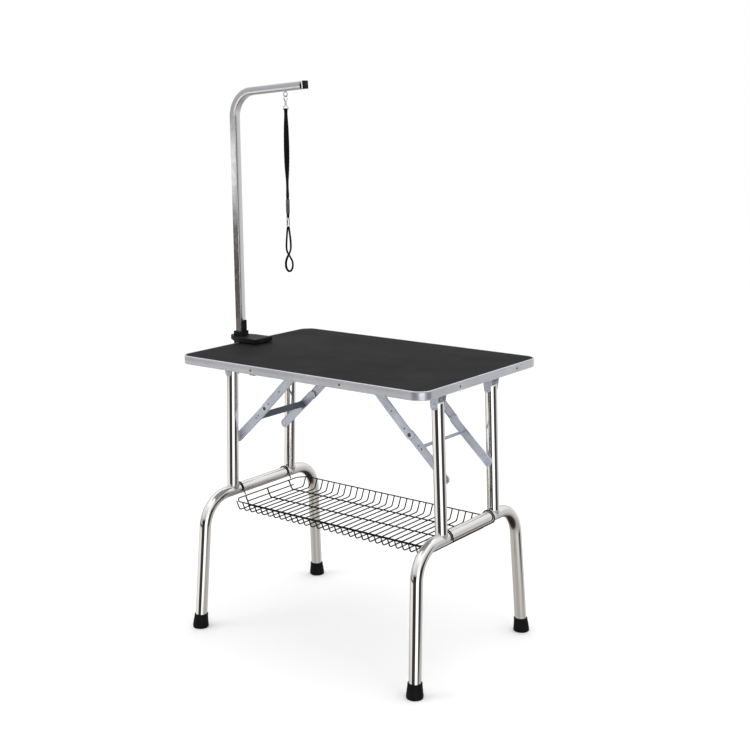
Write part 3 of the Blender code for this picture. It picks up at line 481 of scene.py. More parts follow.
pebbled_mat()
grey_board()
moulded("foot_rubber", (0.0035, 0.0035, 0.0036), (0.0075, 0.0075, 0.0076), 0.60, 1400.0, 0.00004)
moulded("coated_wire", (0.0040, 0.0040, 0.0042), (0.0085, 0.0085, 0.0086), 0.36, 500.0, 0.00006)
moulded("black_plastic", (0.0060, 0.0060, 0.0063), (0.0130, 0.0130, 0.0130), 0.44, 1200.0, 0.00004)
moulded("clamp_iron", (0.0055, 0.0055, 0.0058), (0.0140, 0.0140, 0.0145), 0.46, 420.0, 0.00020)
moulded("keeper_plastic", (0.060, 0.060, 0.061), (0.105, 0.105, 0.105), 0.50, 1500.0, 0.00004)
woven_strap("webbing", (0.0015, 0.0015, 0.0016), (0.0070, 0.0070, 0.0072))
print(len(FINISHES), "finishes")

# %% [markdown]
# ## Surfaces on a grid
# All new pieces are grids of points: rows along the piece and columns round it. One function turns such a
# grid into faces, another carries a section along a path, and a third turns a profile round an axis.

# %% Grids, sweeps and turned shapes
def grid_shell(points, wrap_rows=False, wrap_columns=True, uv=None, caps=False):
    """Faces between neighbouring grid points; a wrap joins the last row or column to the first."""
    rows, columns = points.shape[:2]
    i = np.arange(rows if wrap_rows else rows - 1)[:, None]
    j = np.arange(columns if wrap_columns else columns - 1)[None, :]
    corners = [(i, j), (i, j + 1), (i + 1, j + 1), (i + 1, j)]
    faces = np.stack([(a % rows) * columns + b % columns for a, b in corners], -1).reshape(-1, 4)
    if uv is None:
        across = np.linspace(0.0, 0.05, columns + 1)
        along = np.linspace(0.0, 0.1, rows + 1)
        uv = (across, along)
    map_uv = np.stack([np.stack(np.broadcast_arrays(uv[0][b], uv[1][a]), -1) for a, b in corners], 2)
    ends = [np.arange(columns)[::-1], np.arange(columns) + (rows - 1) * columns] if caps else []
    return {"points": points.reshape(-1, 3), "faces": faces, "uv": map_uv.reshape(-1, 2), "ends": ends}


def unit(vectors):
    """Vectors divided by their own lengths."""
    return vectors / np.linalg.norm(vectors, axis=-1, keepdims=True)


def tangents(path, closed=False):
    """Direction at each point of a path, from the points on its two sides."""
    if closed:
        return unit(np.roll(path, -1, 0) - np.roll(path, 1, 0))
    return unit(np.gradient(path, axis=0))


def steady_sides(along, first):
    """Side direction carried from point to point with the least turn."""
    sides = [unit(first - along[0] * np.dot(first, along[0]))]
    for before, after in zip(along, along[1:]):
        turn = Vector(before).rotation_difference(Vector(after))
        sides.append(np.array(turn @ Vector(sides[-1])))
    return np.array(sides)


def lengths(points):
    """Distance travelled at each point of a path, and then on to the first point again."""
    steps = np.linalg.norm(np.diff(np.vstack((points, points[:1])), axis=0), axis=1)
    return np.concatenate(([0.0], np.cumsum(steps)))[: len(points) + 1]


def sweep(path, section, side, closed=False, capped=True, turn=0.0):
    """Carry a closed outline along a path. Its first number goes along the side direction and its second
    along the path's direction crossed with the side; turn rotates it, in radians, at each point."""
    path, section = np.asarray(path, float), np.asarray(section, float)
    along = tangents(path, closed)
    side = np.broadcast_to(np.asarray(side, float), path.shape)
    side = unit(side - along * np.sum(side * along, 1, keepdims=True))
    lift = np.cross(along, side)
    cos, sin = np.cos(turn) * np.ones(len(path)), np.sin(turn) * np.ones(len(path))
    a = section[..., 0] * cos[:, None] - section[..., 1] * sin[:, None]
    b = section[..., 0] * sin[:, None] + section[..., 1] * cos[:, None]
    points = path[:, None] + a[..., None] * side[:, None] + b[..., None] * lift[:, None]
    outline = section if section.ndim == 2 else section[0]
    uv = (lengths(np.column_stack((outline, np.zeros(len(outline))))), lengths(path))
    return grid_shell(points, closed, True, uv, capped and not closed)


def circle(radius, sides):
    """Points round a circle: radius times the cosine and sine of evenly spaced angles."""
    angle = np.linspace(0.0, 2 * np.pi, sides, endpoint=False)
    return np.column_stack((radius * np.cos(angle), radius * np.sin(angle)))


def round_wire(path, radius, sides=12, closed=False, side=None):
    """Wire of a round section; without a side direction the section is carried with the least turn."""
    path = np.asarray(path, float)
    if side is None:
        along = tangents(path, closed)
        first = np.eye(3)[np.argmin(np.abs(along[0]))]
        side = steady_sides(along, first)
    return sweep(path, circle(radius, sides), side, closed)


def turned(profile, place, axis=(0.0, 0.0, 1.0), steps=40, closed=False):
    """Profile of (radius, height) turned round an axis through a place."""
    profile = np.asarray(profile, float)
    axis = unit(np.asarray(axis, float))
    first = unit(np.cross(axis, np.eye(3)[np.argmin(np.abs(axis))]))
    second = np.cross(axis, first)
    angle = np.linspace(0.0, 2 * np.pi, steps, endpoint=False)
    around = np.cos(angle)[:, None] * first + np.sin(angle)[:, None] * second
    radii, heights = profile[:, 0, None, None], profile[:, 1, None, None]
    points = radii * around + heights * axis + np.asarray(place, float)
    flat = np.column_stack((profile, np.zeros(len(profile))))
    uv = (np.linspace(0.0, 2 * np.pi, steps + 1) * profile[:, 0].max(), lengths(flat))
    return grid_shell(points, closed, True, uv)


# %% Put shells into the scene
def piece(name, shells, finish, body, stands_for=(), sharp=40.0, wall=0.0):
    """Join shells into one object, close its seams, turn its faces outwards, and hang it on a body."""
    points = np.concatenate([shell["points"] for shell in shells])
    starts = np.cumsum([0] + [len(shell["points"]) for shell in shells[:-1]])
    faces, map_uv = [], []
    for start, shell in zip(starts, shells):
        faces += (shell["faces"] + start).tolist() + [(end + start).tolist() for end in shell["ends"]]
        map_uv += [shell["uv"], np.zeros((sum(len(end) for end in shell["ends"]), 2))]
    mesh = bpy.data.meshes.new(name)
    mesh.from_pydata(points.tolist(), [], faces)
    mesh.uv_layers.new(name="UVMap").data.foreach_set("uv", np.concatenate(map_uv).ravel())
    shape = bmesh.new()
    shape.from_mesh(mesh)
    bmesh.ops.remove_doubles(shape, verts=shape.verts, dist=0.000002)
    bmesh.ops.dissolve_degenerate(shape, edges=shape.edges, dist=0.000001)
    bmesh.ops.recalc_face_normals(shape, faces=shape.faces)
    shape.to_mesh(mesh)
    shape.free()
    mesh.shade_smooth()
    mesh.set_sharp_from_angle(angle=math.radians(sharp))
    mesh.materials.append(FINISHES[finish])
    made = bpy.data.objects.new(name, mesh)
    bpy.context.scene.collection.objects.link(made)
    if wall:
        shell_wall = made.modifiers.new("wall", "SOLIDIFY")
        shell_wall.thickness = wall
        shell_wall.offset = -1.0
    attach(made, body)
    if stands_for:
        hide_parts(*stands_for)
    print(name, len(mesh.polygons), "faces on", body)
    return made


# %% [markdown]
# ## Noose
# The strap is flat webbing, doubled and stitched into one band. It hangs from the swivel and twists as it
# goes down, so from one side it looks wide, then narrow, then wide again. Its top end folds over the
# lower bar of the swivel's bail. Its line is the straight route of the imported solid. The loop below the
# slider is the same strap, single and narrower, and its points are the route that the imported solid
# follows.

# %% Hang the strap
SWIVEL_TOP = box("snap_swivel")[1][2]
STRAP_LOW, STRAP_HIGH = box("noose_strap")
SLIDER_LOW, SLIDER_HIGH = box("noose_slider")
KEEPER_LOW, KEEPER_HIGH = box("noose_keeper")
EYE_X = (STRAP_LOW[0] + STRAP_HIGH[0]) / 2
STRAP_WIDTH = 0.0150
STRAP_THICKNESS = 0.0026
STRAP_TURNS = (
    (1.4215, 37.3),
    (1.400, 36.0),
    (1.365, 22.0),
    (1.330, 0.0),
    (1.290, -28.0),
    (1.235, -72.0),
    (1.205, -68.0),
    (1.190, -52.0),
    (1.112, -45.0),
)
STRAP_ROWS = 200
KEEPER_SQUEEZE = 0.42
TOP_SQUEEZE = 0.28


def strap_section(width, thickness, sides=24):
    """Flat oval, a superellipse: cosine and sine are raised to low powers, which rounds the edges."""
    angle = np.linspace(0.0, 2 * np.pi, sides, endpoint=False)
    cos, sin = np.cos(angle), np.sin(angle)
    across = np.sign(cos) * np.abs(cos) ** 0.35 * width / 2
    through = np.sign(sin) * np.abs(sin) ** 0.7 * thickness / 2
    return np.column_stack((across, through))


def twisted_strap():
    """Straight route whose section turns with height, and narrows where the keeper squeezes it."""
    heights = np.linspace(STRAP_HIGH[2], STRAP_LOW[2], STRAP_ROWS)
    path = np.column_stack((np.full(STRAP_ROWS, EYE_X), np.zeros(STRAP_ROWS), heights))
    knots, turns = np.array(STRAP_TURNS)[::-1].T
    turn = np.radians(np.interp(heights, knots, turns))
    soft = np.ones(15) / 15
    turn = np.convolve(np.pad(turn, 7, mode="edge"), soft, mode="valid")
    near_keeper = 1 / (1 + np.exp((heights - KEEPER_HIGH[2] - 0.006) / 0.003))
    near_top = np.exp(-(((heights - STRAP_HIGH[2]) / 0.022) ** 2))
    squeeze = (1.0 - KEEPER_SQUEEZE * near_keeper) * (1.0 - TOP_SQUEEZE * near_top)
    section = strap_section(STRAP_WIDTH, STRAP_THICKNESS)
    sections = section[None] * np.stack((squeeze, 1.0 + (1.0 - squeeze)), -1)[:, None]
    return path, sweep(path, sections, RIGHT, turn=turn)


strap_path, strap_shell = twisted_strap()
strap = piece("strap_webbing", [strap_shell], "webbing", "noose", ["noose_strap"])

# %% Fold the strap over the bail
BAIL_WIRE = 0.0013
BAIL_TOP = SWIVEL_TOP - 0.0030
BAIL_BAR_Z = SWIVEL_TOP - 0.0115
FOLD_WIDTH = 0.0108
FOLD_PLY = 0.0013
FOLD_RADIUS = BAIL_WIRE + FOLD_PLY / 2 + 0.0001
FOLD_RISE = ((0.0007, -0.002), (0.0009, 0.002), (0.0014, 0.0055))


def folded_route():
    """Up from the doubled strap, half a turn round the bail's lower bar, and down again."""
    over = np.linspace(-0.35, np.pi + 0.35, 26)
    arch = np.column_stack((FOLD_RADIUS * np.cos(over), BAIL_BAR_Z + FOLD_RADIUS * np.sin(over)))
    up = [(y, STRAP_HIGH[2] + rise) for y, rise in FOLD_RISE]
    down = [(-y, z) for y, z in up[::-1]]
    route = np.vstack((up, arch, down))
    return np.column_stack((np.full(len(route), EYE_X), route))


fold_shell = sweep(folded_route(), strap_section(FOLD_WIDTH, FOLD_PLY, 16), (1.0, 0.0, 0.0))
fold = piece("strap_fold", [fold_shell], "webbing", "noose")
print("bail bar at", round(float(BAIL_BAR_Z), 4), "strap top", round(float(STRAP_HIGH[2]), 4))

# %% Form the loop
LOOP_ROUTE = (
    (-0.0028, 0.0000, 1.1110),
    (-0.0045, -0.0005, 1.0950),
    (-0.0062, -0.0012, 1.0750),
    (-0.0060, -0.0022, 1.0560),
    (-0.0020, -0.0030, 1.0440),
    (0.0065, -0.0025, 1.0330),
    (0.0138, -0.0012, 1.0190),
    (0.0130, 0.0000, 1.0050),
    (0.0070, 0.0005, 0.9950),
    (-0.0005, 0.0008, 0.9920),
    (-0.0080, 0.0012, 0.9960),
    (-0.0128, 0.0018, 1.0060),
    (-0.0122, 0.0024, 1.0200),
    (-0.0060, 0.0028, 1.0330),
    (0.0010, 0.0030, 1.0440),
    (0.0056, 0.0022, 1.0560),
    (0.0064, 0.0012, 1.0750),
    (0.0046, 0.0005, 1.0950),
    (0.0028, 0.0000, 1.1110),
)
LOOP_WIDTH = 0.0065
LOOP_THICKNESS = 0.0024
LOOP_TURN = 38.0
LOOP_TWISTS = ((48.0, 0.64, 0.10), (14.0, 0.88, 0.07))


def smooth_through(points, steps):
    """Smooth curve through all the points: on each span, a cubic that leaves and arrives along the line
    between the neighbours on either side."""
    points = np.asarray(points, float)
    points = np.vstack((2 * points[0] - points[1], points, 2 * points[-1] - points[-2]))
    a, b, c, d = (points[k : len(points) - 3 + k, None] for k in range(4))
    t = np.linspace(0.0, 1.0, steps, endpoint=False)[None, :, None]
    curve = 0.5 * (2 * b + (c - a) * t + (2 * a - 5 * b + 4 * c - d) * t**2 + (3 * b - a - 3 * c + d) * t**3)
    return np.vstack((curve.reshape(-1, 3), points[-2]))


loop_path = smooth_through(np.array(LOOP_ROUTE) + (EYE_X, 0.0, 0.0), 8)
share = np.linspace(0.0, 1.0, len(loop_path))
loop_turn = np.full(len(share), LOOP_TURN)
for extra, middle, width in LOOP_TWISTS:
    loop_turn += extra * np.exp(-(((share - middle) / width) ** 2))
loop_section = strap_section(LOOP_WIDTH, LOOP_THICKNESS, 16)
loop_shell = sweep(loop_path, loop_section, FORWARD, turn=np.radians(loop_turn))
loop = piece("loop_webbing", [loop_shell], "webbing", "noose", ["noose_loop"])

# %% [markdown]
# The keeper is a dark grey moulded sleeve, and the slider under it is a bright metal tube with a rolled
# rim at each end. Just below it the two ends of the loop are bound together in a small black knot, which
# slides with the slider.

# %% Keeper, slider and binding
def sleeve(low, high, outer, bore, rim):
    """Tube with rounded rims: the profile goes up the outside, over the rim and down the bore."""
    rise = np.linspace(0.0, np.pi, 9)
    middle, half = (outer + bore) / 2, (outer - bore) / 2
    top = np.column_stack((middle + half * np.cos(rise), high - half + half * np.sin(rise)))
    foot = np.column_stack((middle - half * np.cos(rise), low + half - half * np.sin(rise)))
    bulge = [(outer + rim, high - half - 0.0005), (outer, high - half - 0.0022)] if rim else []
    hollow = [(outer, low + half + 0.0022), (outer + rim, low + half + 0.0005)] if rim else []
    return [tuple(p) for p in foot] + hollow[::-1] + bulge[::-1] + [tuple(p) for p in top]


keeper_profile = sleeve(KEEPER_LOW[2], KEEPER_HIGH[2], 0.0052, 0.0032, 0.0)
keeper = piece(
    "strap_keeper",
    [turned(keeper_profile, (EYE_X, 0, 0), closed=True)],
    "keeper_plastic",
    "noose",
    ["noose_keeper"],
)
slider_profile = sleeve(SLIDER_LOW[2], SLIDER_HIGH[2], 0.0047, 0.0032, 0.0006)
slider = piece(
    "strap_slider",
    [turned(slider_profile, (EYE_X, 0, 0), closed=True)],
    "chrome",
    "slider",
    ["noose_slider"],
)
binding_z = np.linspace(-0.0035, 0.0035, 29)
binding_radius = 0.0046 * np.sqrt(np.clip(1.0 - (binding_z / 0.0038) ** 4, 0.0, 1.0))
binding_radius += 0.0002 * np.cos(binding_z * 9000)
binding_radius[[0, -1]] = 0.0
binding = piece(
    "loop_binding",
    [turned(np.column_stack((binding_radius, binding_z)), (EYE_X, 0, STRAP_LOW[2] - 0.0022))],
    "webbing",
    "slider",
)

# %% [markdown]
# ## Snap hook
# A small plated hook: a curl that thins towards its tip, a turned barrel, a sprung gate that closes the
# curl, and a swivel with a flat-topped bail for the strap.

# %% Shape the hook, gate and swivel
HOOK_TOP = box("snap_hook")[1][2]
GATE_LOW, GATE_HIGH = box("snap_gate")
HOOK_RADIUS = 0.0066
HOOK_WIRE = 0.0016
HOOK_Z = HOOK_TOP - HOOK_RADIUS - HOOK_WIRE
BARREL_TOP = HOOK_Z - HOOK_RADIUS
GATE_WIRE = 0.0012
BAIL_HALF = 0.0085


def hook_curl():
    """Arc from the tip over the top and down to the barrel, its wire growing thicker on the way."""
    angle = np.radians(np.linspace(20.0, 270.0, 60))
    y, z = HOOK_RADIUS * np.cos(angle), HOOK_Z + HOOK_RADIUS * np.sin(angle)
    path = np.column_stack((np.full(60, EYE_X), y, z))
    growth = np.linspace(0.62, 1.12, 60) * np.minimum(1.0, np.linspace(0.5, 9.0, 60))
    sections = circle(HOOK_WIRE, 16)[None] * growth[:, None, None]
    return sweep(path, sections, (1.0, 0.0, 0.0))


barrel = [(0.0, -0.0110), (0.0026, -0.0110), (0.0034, -0.0098), (0.0034, -0.0086), (0.0027, -0.0078)]
barrel += [(0.0027, -0.0026), (0.0033, -0.0018), (0.0033, -0.0008), (0.0029, 0.0006), (0.0022, 0.0016)]
barrel += [(0.0, 0.0018)]
hook_shells = [hook_curl(), turned(barrel, (EYE_X, 0, BARREL_TOP))]
piece("snap_hook_body", hook_shells, "chrome", "hook", ["snap_hook"])
gate_low = np.array((EYE_X, GATE_LOW[1] + GATE_WIRE, GATE_LOW[2] + GATE_WIRE))
gate_high = np.array((EYE_X, GATE_HIGH[1] - GATE_WIRE, GATE_HIGH[2] - GATE_WIRE))
gate_way = gate_low + np.linspace(-0.12, 1.12, 12)[:, None] * (gate_high - gate_low)
gate_size = np.array((0.35, 0.8, 1.0, 1.0, 1.0, 1.0, 1.0, 1.0, 1.0, 1.0, 0.8, 0.35))
gate_shell = sweep(gate_way, circle(GATE_WIRE, 14)[None] * gate_size[:, None, None], (1.0, 0.0, 0.0))
stud_profile = [(0.0, 0.0), (0.0010, 0.0), (0.0010, 0.0014)]
stud_profile += [(0.0016, 0.0018), (0.0014, 0.0026), (0.0, 0.0028)]
stud = turned(stud_profile, gate_way[3], (0.0, 1.0, 0.0), 20)
piece("snap_gate_lever", [gate_shell, stud], "chrome", "gate", ["snap_gate"])


def swivel_shells():
    """Bail as a closed wire round a rounded trapezium, with a neck that turns in the barrel."""
    knots = [(0.0, BAIL_TOP), (BAIL_HALF * 0.55, BAIL_TOP), (BAIL_HALF * 0.93, BAIL_TOP - 0.0022)]
    knots += [(BAIL_HALF, BAIL_TOP - 0.0050), (BAIL_HALF, BAIL_BAR_Z + 0.0012)]
    knots += [(BAIL_HALF * 0.90, BAIL_BAR_Z), (0.0, BAIL_BAR_Z)]
    right = np.array([(x, 0.0, z) for x, z in knots])
    left = right[::-1] * (-1.0, 1.0, 1.0)
    ring = smooth_through(np.vstack((right, left[1:])), 6)[:-1] + (EYE_X, 0.0, 0.0)
    neck = [(0.0, -0.0012), (0.0026, -0.0012), (0.0030, 0.0)]
    neck += [(0.0030, 0.0012), (0.0022, 0.0030), (0.0, 0.0030)]
    bail = round_wire(ring, BAIL_WIRE, 12, True, (0.0, 1.0, 0.0))
    return [bail, turned(neck, (EYE_X, 0, BAIL_TOP))]


piece("swivel_bail", swivel_shells(), "chrome", "noose", ["snap_swivel"])

# %% [markdown]
# ## Top
# The edging is one aluminium extrusion, bent round four corners. Its section is a thin wall with a small
# rounded lip over the mat. Carrying that section round the rounded rectangle gives the whole rim in one
# surface, and because each section point keeps its own corner radius, the bends stay true.

# %% Extrude the edging
EDGE_RADIUS = 0.038
EDGE_HALF = (TRIM_HIGH[:2] - TRIM_LOW[:2]) / 2
EDGE_TOP, EDGE_FOOT = TRIM_HIGH[2], TRIM_LOW[2]


def rounded_rectangle(half_x, half_y, radius, steps):
    """Four corner arcs, in order round the rectangle; its straight sides are the gaps between them."""
    out = []
    for quarter, (sx, sy) in enumerate(((1, 1), (-1, 1), (-1, -1), (1, -1))):
        angle = np.radians(90.0 * quarter) + np.linspace(0.0, np.pi / 2, steps)
        centre = np.array((sx * (half_x - radius), sy * (half_y - radius)))
        out.append(centre + radius * np.column_stack((np.cos(angle), np.sin(angle))))
    return np.vstack(out)


def edging_shell():
    """Rows are section points as (inset, height), columns go round the rectangle inset by that much."""
    wall, lip, bend = 0.0015, 0.0045, 0.0018
    arc = np.linspace(0.0, np.pi / 2, 7)
    crown = np.linspace(0.0, 1.0, 9)
    face_height = EDGE_TOP - EDGE_FOOT - 2 * bend
    outside = np.column_stack((0.0004 * (2 * crown - 1) ** 2, EDGE_FOOT + bend + crown * face_height))
    shoulder = np.column_stack((bend - bend * np.cos(arc), EDGE_TOP - bend + bend * np.sin(arc)))
    tip = [(lip - 0.0003, EDGE_TOP), (lip, EDGE_TOP - 0.0004), (lip, EDGE_TOP - 0.0009)]
    inside = [(wall, EDGE_TOP - 0.0010), (wall, EDGE_FOOT + 0.0004)]
    foot = bend - bend * np.column_stack((np.cos(arc[::-1]), np.sin(arc[::-1])))[1:-1] + (0.0, EDGE_FOOT)
    section = np.vstack((outside, shoulder[1:], tip, inside, [(wall, EDGE_FOOT)], foot))
    rings = [rounded_rectangle(*(EDGE_HALF - inset), EDGE_RADIUS - inset, 20) for inset, z in section]
    levels = [np.full(len(ring), z) for ring, (inset, z) in zip(rings, section)]
    shifted = [ring + (MIDDLE_X, 0.0) for ring in rings]
    points = np.stack([np.column_stack(pair) for pair in zip(shifted, levels)])
    walk = lengths(points[0])
    climb = lengths(np.column_stack((section, np.zeros(len(section)))))
    shell = grid_shell(points, True, True, (walk, climb))
    shell["uv"] = shell["uv"][:, ::-1].copy()
    return shell


piece("edging", [edging_shell()], "edge_aluminium", "table", ["edge_trim"], sharp=50.0)

# %% Rivet the edging
EDGE_RIVETS_X = (-0.142, 0.153)
EDGE_RIVETS_Y = (-0.112, 0.1535)
RIVET_Z = (EDGE_TOP + EDGE_FOOT) / 2 - 0.0005
dome = [(0.0, -0.0006), (0.0032, -0.0006), (0.0032, 0.0001), (0.0026, 0.0007), (0.0014, 0.0011)]
dome += [(0.0, 0.0012)]
rivets = []
for side in (-1, 1):
    for x in EDGE_RIVETS_X:
        rivets.append(turned(dome, (MIDDLE_X + x, side * EDGE_HALF[1], RIVET_Z), (0, side, 0), 20))
    for y in EDGE_RIVETS_Y:
        rivets.append(turned(dome, (MIDDLE_X + side * EDGE_HALF[0], y, RIVET_Z), (side, 0, 0), 20))
piece("edging_rivets", rivets, "rivets", "table")

# %% [markdown]
# ## Legs
# Each leg frame is an inverted U of tube with two uprights welded on it. The tubes are swept with sixty
# sides, so their reflections run smoothly. The whole frame is built upright about its hinge and then
# leaned outwards.

# %% Bend the floor tubes and set the uprights
TUBE = 0.0160
TUBE_WALL = 0.0015
UPRIGHT_Y = box("right_back_upright")[1][1] - TUBE
CROSS_DROP = 0.3452
UPRIGHT_ABOVE = 0.0140
FLARE = math.radians(4.24)
FLOOR_BEND = 0.085
TUBE_END = 0.008
TUBE_SIDES = 60


def leaned(points, end):
    """Lean points built about the hinge, and mirror them to the left or right end of the table."""
    points = np.asarray(points, float)
    x = points[..., 0] * math.cos(LEAN) - points[..., 2] * math.sin(LEAN)
    z = points[..., 0] * math.sin(LEAN) + points[..., 2] * math.cos(LEAN)
    return np.stack((MIDDLE_X + end * (LEG_X + x), points[..., 1], LEG_Z + z), -1)


def lean_shell(shell, end):
    """The same shell with its points leaned."""
    return {**shell, "points": leaned(shell["points"], end)}


def floor_tube_route():
    """Cross run, a bend at each side and two flared legs. The slope of a leg and the bend's angle fix where
    the bend starts and ends."""
    floor = -LEG_Z / math.cos(LEAN)
    slope = math.tan(FLARE)
    corner = FOOT_Y - slope * (-CROSS_DROP - floor)
    turn = math.pi / 2 - FLARE
    centre = corner - FLOOR_BEND * math.tan(turn / 2)
    angle = np.pi / 2 - np.linspace(0.0, turn, 40)
    bend = FLOOR_BEND * np.column_stack((np.cos(angle), np.sin(angle))) + (centre, -CROSS_DROP - FLOOR_BEND)
    end = floor + TUBE_END
    foot = np.array((FOOT_Y - slope * (end - floor), end))
    leg = bend[-1] + np.linspace(0.0, 1.0, 14)[1:, None] * (foot - bend[-1])
    half = np.vstack((bend, leg))
    run = np.column_stack((np.linspace(-centre, centre, 17)[1:-1], np.full(15, -CROSS_DROP)))
    whole = np.vstack((half[::-1] * (-1.0, 1.0), run, half))
    return np.column_stack((np.zeros(len(whole)), whole))


FLOOR_ROUTE = floor_tube_route()
upright_z = np.linspace(-CROSS_DROP + 0.004, UPRIGHT_ABOVE, 30)
upright_route = np.column_stack((np.zeros(30), np.full(30, UPRIGHT_Y), upright_z))
for end_name, end in ENDS:
    legs = f"{end_name}_legs"
    bow = lean_shell(sweep(FLOOR_ROUTE, circle(TUBE, TUBE_SIDES), (1.0, 0.0, 0.0)), end)
    piece(f"{end_name}_floor_bow", [bow], "polished_steel", legs, [f"{end_name}_floor_tube"])
    for where, side in SIDES:
        name = f"{end_name}_{where}"
        tube = sweep(upright_route * (1, side, 1), circle(TUBE, TUBE_SIDES), (1.0, 0.0, 0.0), capped=False)
        post = [lean_shell(tube, end)]
        piece(f"{name}_post", post, "polished_steel", legs, [f"{name}_upright"], wall=TUBE_WALL)

# %% [markdown]
# Two tubes of one size meet along a saddle line: at each angle round the upright, the line lies as deep
# as the cross tube's round surface there. A thin bead on that line is the weld.

# %% Weld the uprights and fit the brace studs
BRACE_TOP = np.array((0.1234, 0.742))
BRACE_KNEE = np.array((0.2465, 0.621))
BRACE_FOOT = np.array((0.3529, 0.5223))
UPPER_Y = 0.1030
LOWER_Y = 0.0985
LINK_DEPTH = 0.0040


def weld_bead():
    """Closed bead: its height over the cross tube's axis is the radius times the size of the sine."""
    angle = np.linspace(0.0, 2 * np.pi, 120, endpoint=False)
    saddle = np.column_stack((np.cos(angle), np.sin(angle), np.abs(np.sin(angle))))
    path = (TUBE + 0.0004) * saddle + (0.0, 0.0, -CROSS_DROP)
    ripple = 0.0011 + 0.00012 * np.cos(angle * 34)
    sections = circle(1.0, 8)[None] * ripple[:, None, None]
    outward = np.column_stack((np.cos(angle), np.sin(angle), np.zeros(120)))
    return sweep(path, sections, outward, closed=True)


stud_drop = -float(np.hypot(*(BRACE_FOOT - (LEG_X, LEG_Z))))
stud_face = LOWER_Y - LINK_DEPTH / 2 - 0.0006
stud_shank = abs(UPRIGHT_Y - TUBE - stud_face) + 0.001
button = [(0.0, 0.0), (0.0030, 0.0002), (0.0052, 0.0011), (0.0060, 0.0024), (0.0060, 0.0034)]
button += [(0.0035, 0.0036), (0.0035, stud_shank), (0.0, stud_shank)]
for end_name, end in ENDS:
    for where, side in SIDES:
        bead = weld_bead()
        bead["points"] = bead["points"] + (0.0, side * UPRIGHT_Y, 0.0)
        piece(f"{end_name}_{where}_weld", [lean_shell(bead, end)], "zinc_steel", f"{end_name}_legs")
        stud_shell = turned(button, (0.0, side * stud_face, stud_drop), (0, side, 0), 28)
        piece(f"{end_name}_{where}_stud", [lean_shell(stud_shell, end)], "zinc_steel", f"{end_name}_legs")

# %% [markdown]
# The rubber tips are moulded cups: the side tapers upwards, a thick rolled lip grips the tube, and
# shallow rings are moulded round the lower part. The sole has a ring and a recess, because it marks the
# floor less that way.

# %% Mould the rubber feet
FOOT_TOP = FOOT_HIGH[2]


def foot_profile():
    """Outside from the sole up to the lip, then over it and down into the bore."""
    height = np.linspace(0.0095, FOOT_TOP - 0.0040, 60)
    radius = 0.0218 - (height - 0.0095) / (FOOT_TOP - 0.0135) * 0.0029
    radius -= 0.00035 * np.exp(-(((height - 0.0135) / 0.0008) ** 2))
    radius -= 0.00035 * np.exp(-(((height - 0.0170) / 0.0008) ** 2))
    side = np.column_stack((radius, height))
    roll = np.linspace(0.0, np.pi, 12)
    lip = np.column_stack((0.01775 + 0.0013 * np.cos(roll), FOOT_TOP - 0.0014 + 0.0014 * np.sin(roll)))
    sole = [(0.0, 0.0016), (0.0125, 0.0016), (0.0130, 0.0), (0.0195, 0.0), (0.0210, 0.0005)]
    sole += [(0.0219, 0.0020), (0.0220, 0.0080)]
    bore = [(0.0164, FOOT_TOP - 0.0050), (0.0164, FOOT_TOP - 0.0200), (0.0, FOOT_TOP - 0.0200)]
    return np.vstack((sole, side, lip, bore))


for end_name, end in ENDS:
    for where, side in SIDES:
        name = f"{end_name}_{where}"
        low, high = box(f"{name}_foot")
        centre = np.array(((low[0] + high[0]) / 2, (low[1] + high[1]) / 2, 0.0))
        shell = turned(foot_profile(), centre, steps=64)
        height = shell["points"][:, 2:3]
        tilt = np.array((-end * math.tan(LEAN), -side * math.tan(FLARE), 0.0))
        shell["points"] = shell["points"] + tilt * height * np.clip(height / FOOT_TOP, 0.0, 1.0)
        piece(f"{name}_rubber_tip", [shell], "foot_rubber", f"{end_name}_legs", [f"{name}_foot"])

# %% [markdown]
# ## Braces
# A brace link is a strip pressed into a shallow tray: a flat web with a flange turned up all round. Every
# section point is an inset from the bar's outline and a depth, and the outline is two half circles joined
# by straights. At full inset the half circles shrink to points, which closes the web.

# %% Press the brace links
LINK_HALF = 0.0125
LINK_SHEET = 0.0015
LINK_BEND = 0.0012
UPPER_RIVETS = (0.021, 0.078)
LOWER_RIVETS = (0.036, 0.048)
RIVET_RADIUS = 0.0024
KNEE_RIVET_RADIUS = 0.0056
UPPER_FACE = UPPER_Y + LINK_DEPTH / 2
LOWER_FACE = LOWER_Y + LINK_DEPTH / 2
DOWN_LINK = unit(BRACE_FOOT - BRACE_KNEE)
UP_LINK = unit(BRACE_TOP - BRACE_KNEE)


def bar_outline(start, end, radius, steps=18):
    """Half circle round the end and half circle round the start."""
    along = math.atan2(end[1] - start[1], end[0] - start[0])
    angle = np.linspace(-np.pi / 2, np.pi / 2, steps) + along
    far = end + radius * np.column_stack((np.cos(angle), np.sin(angle)))
    near = start + radius * np.column_stack((np.cos(angle + np.pi), np.sin(angle + np.pi)))
    return np.vstack((far, near))


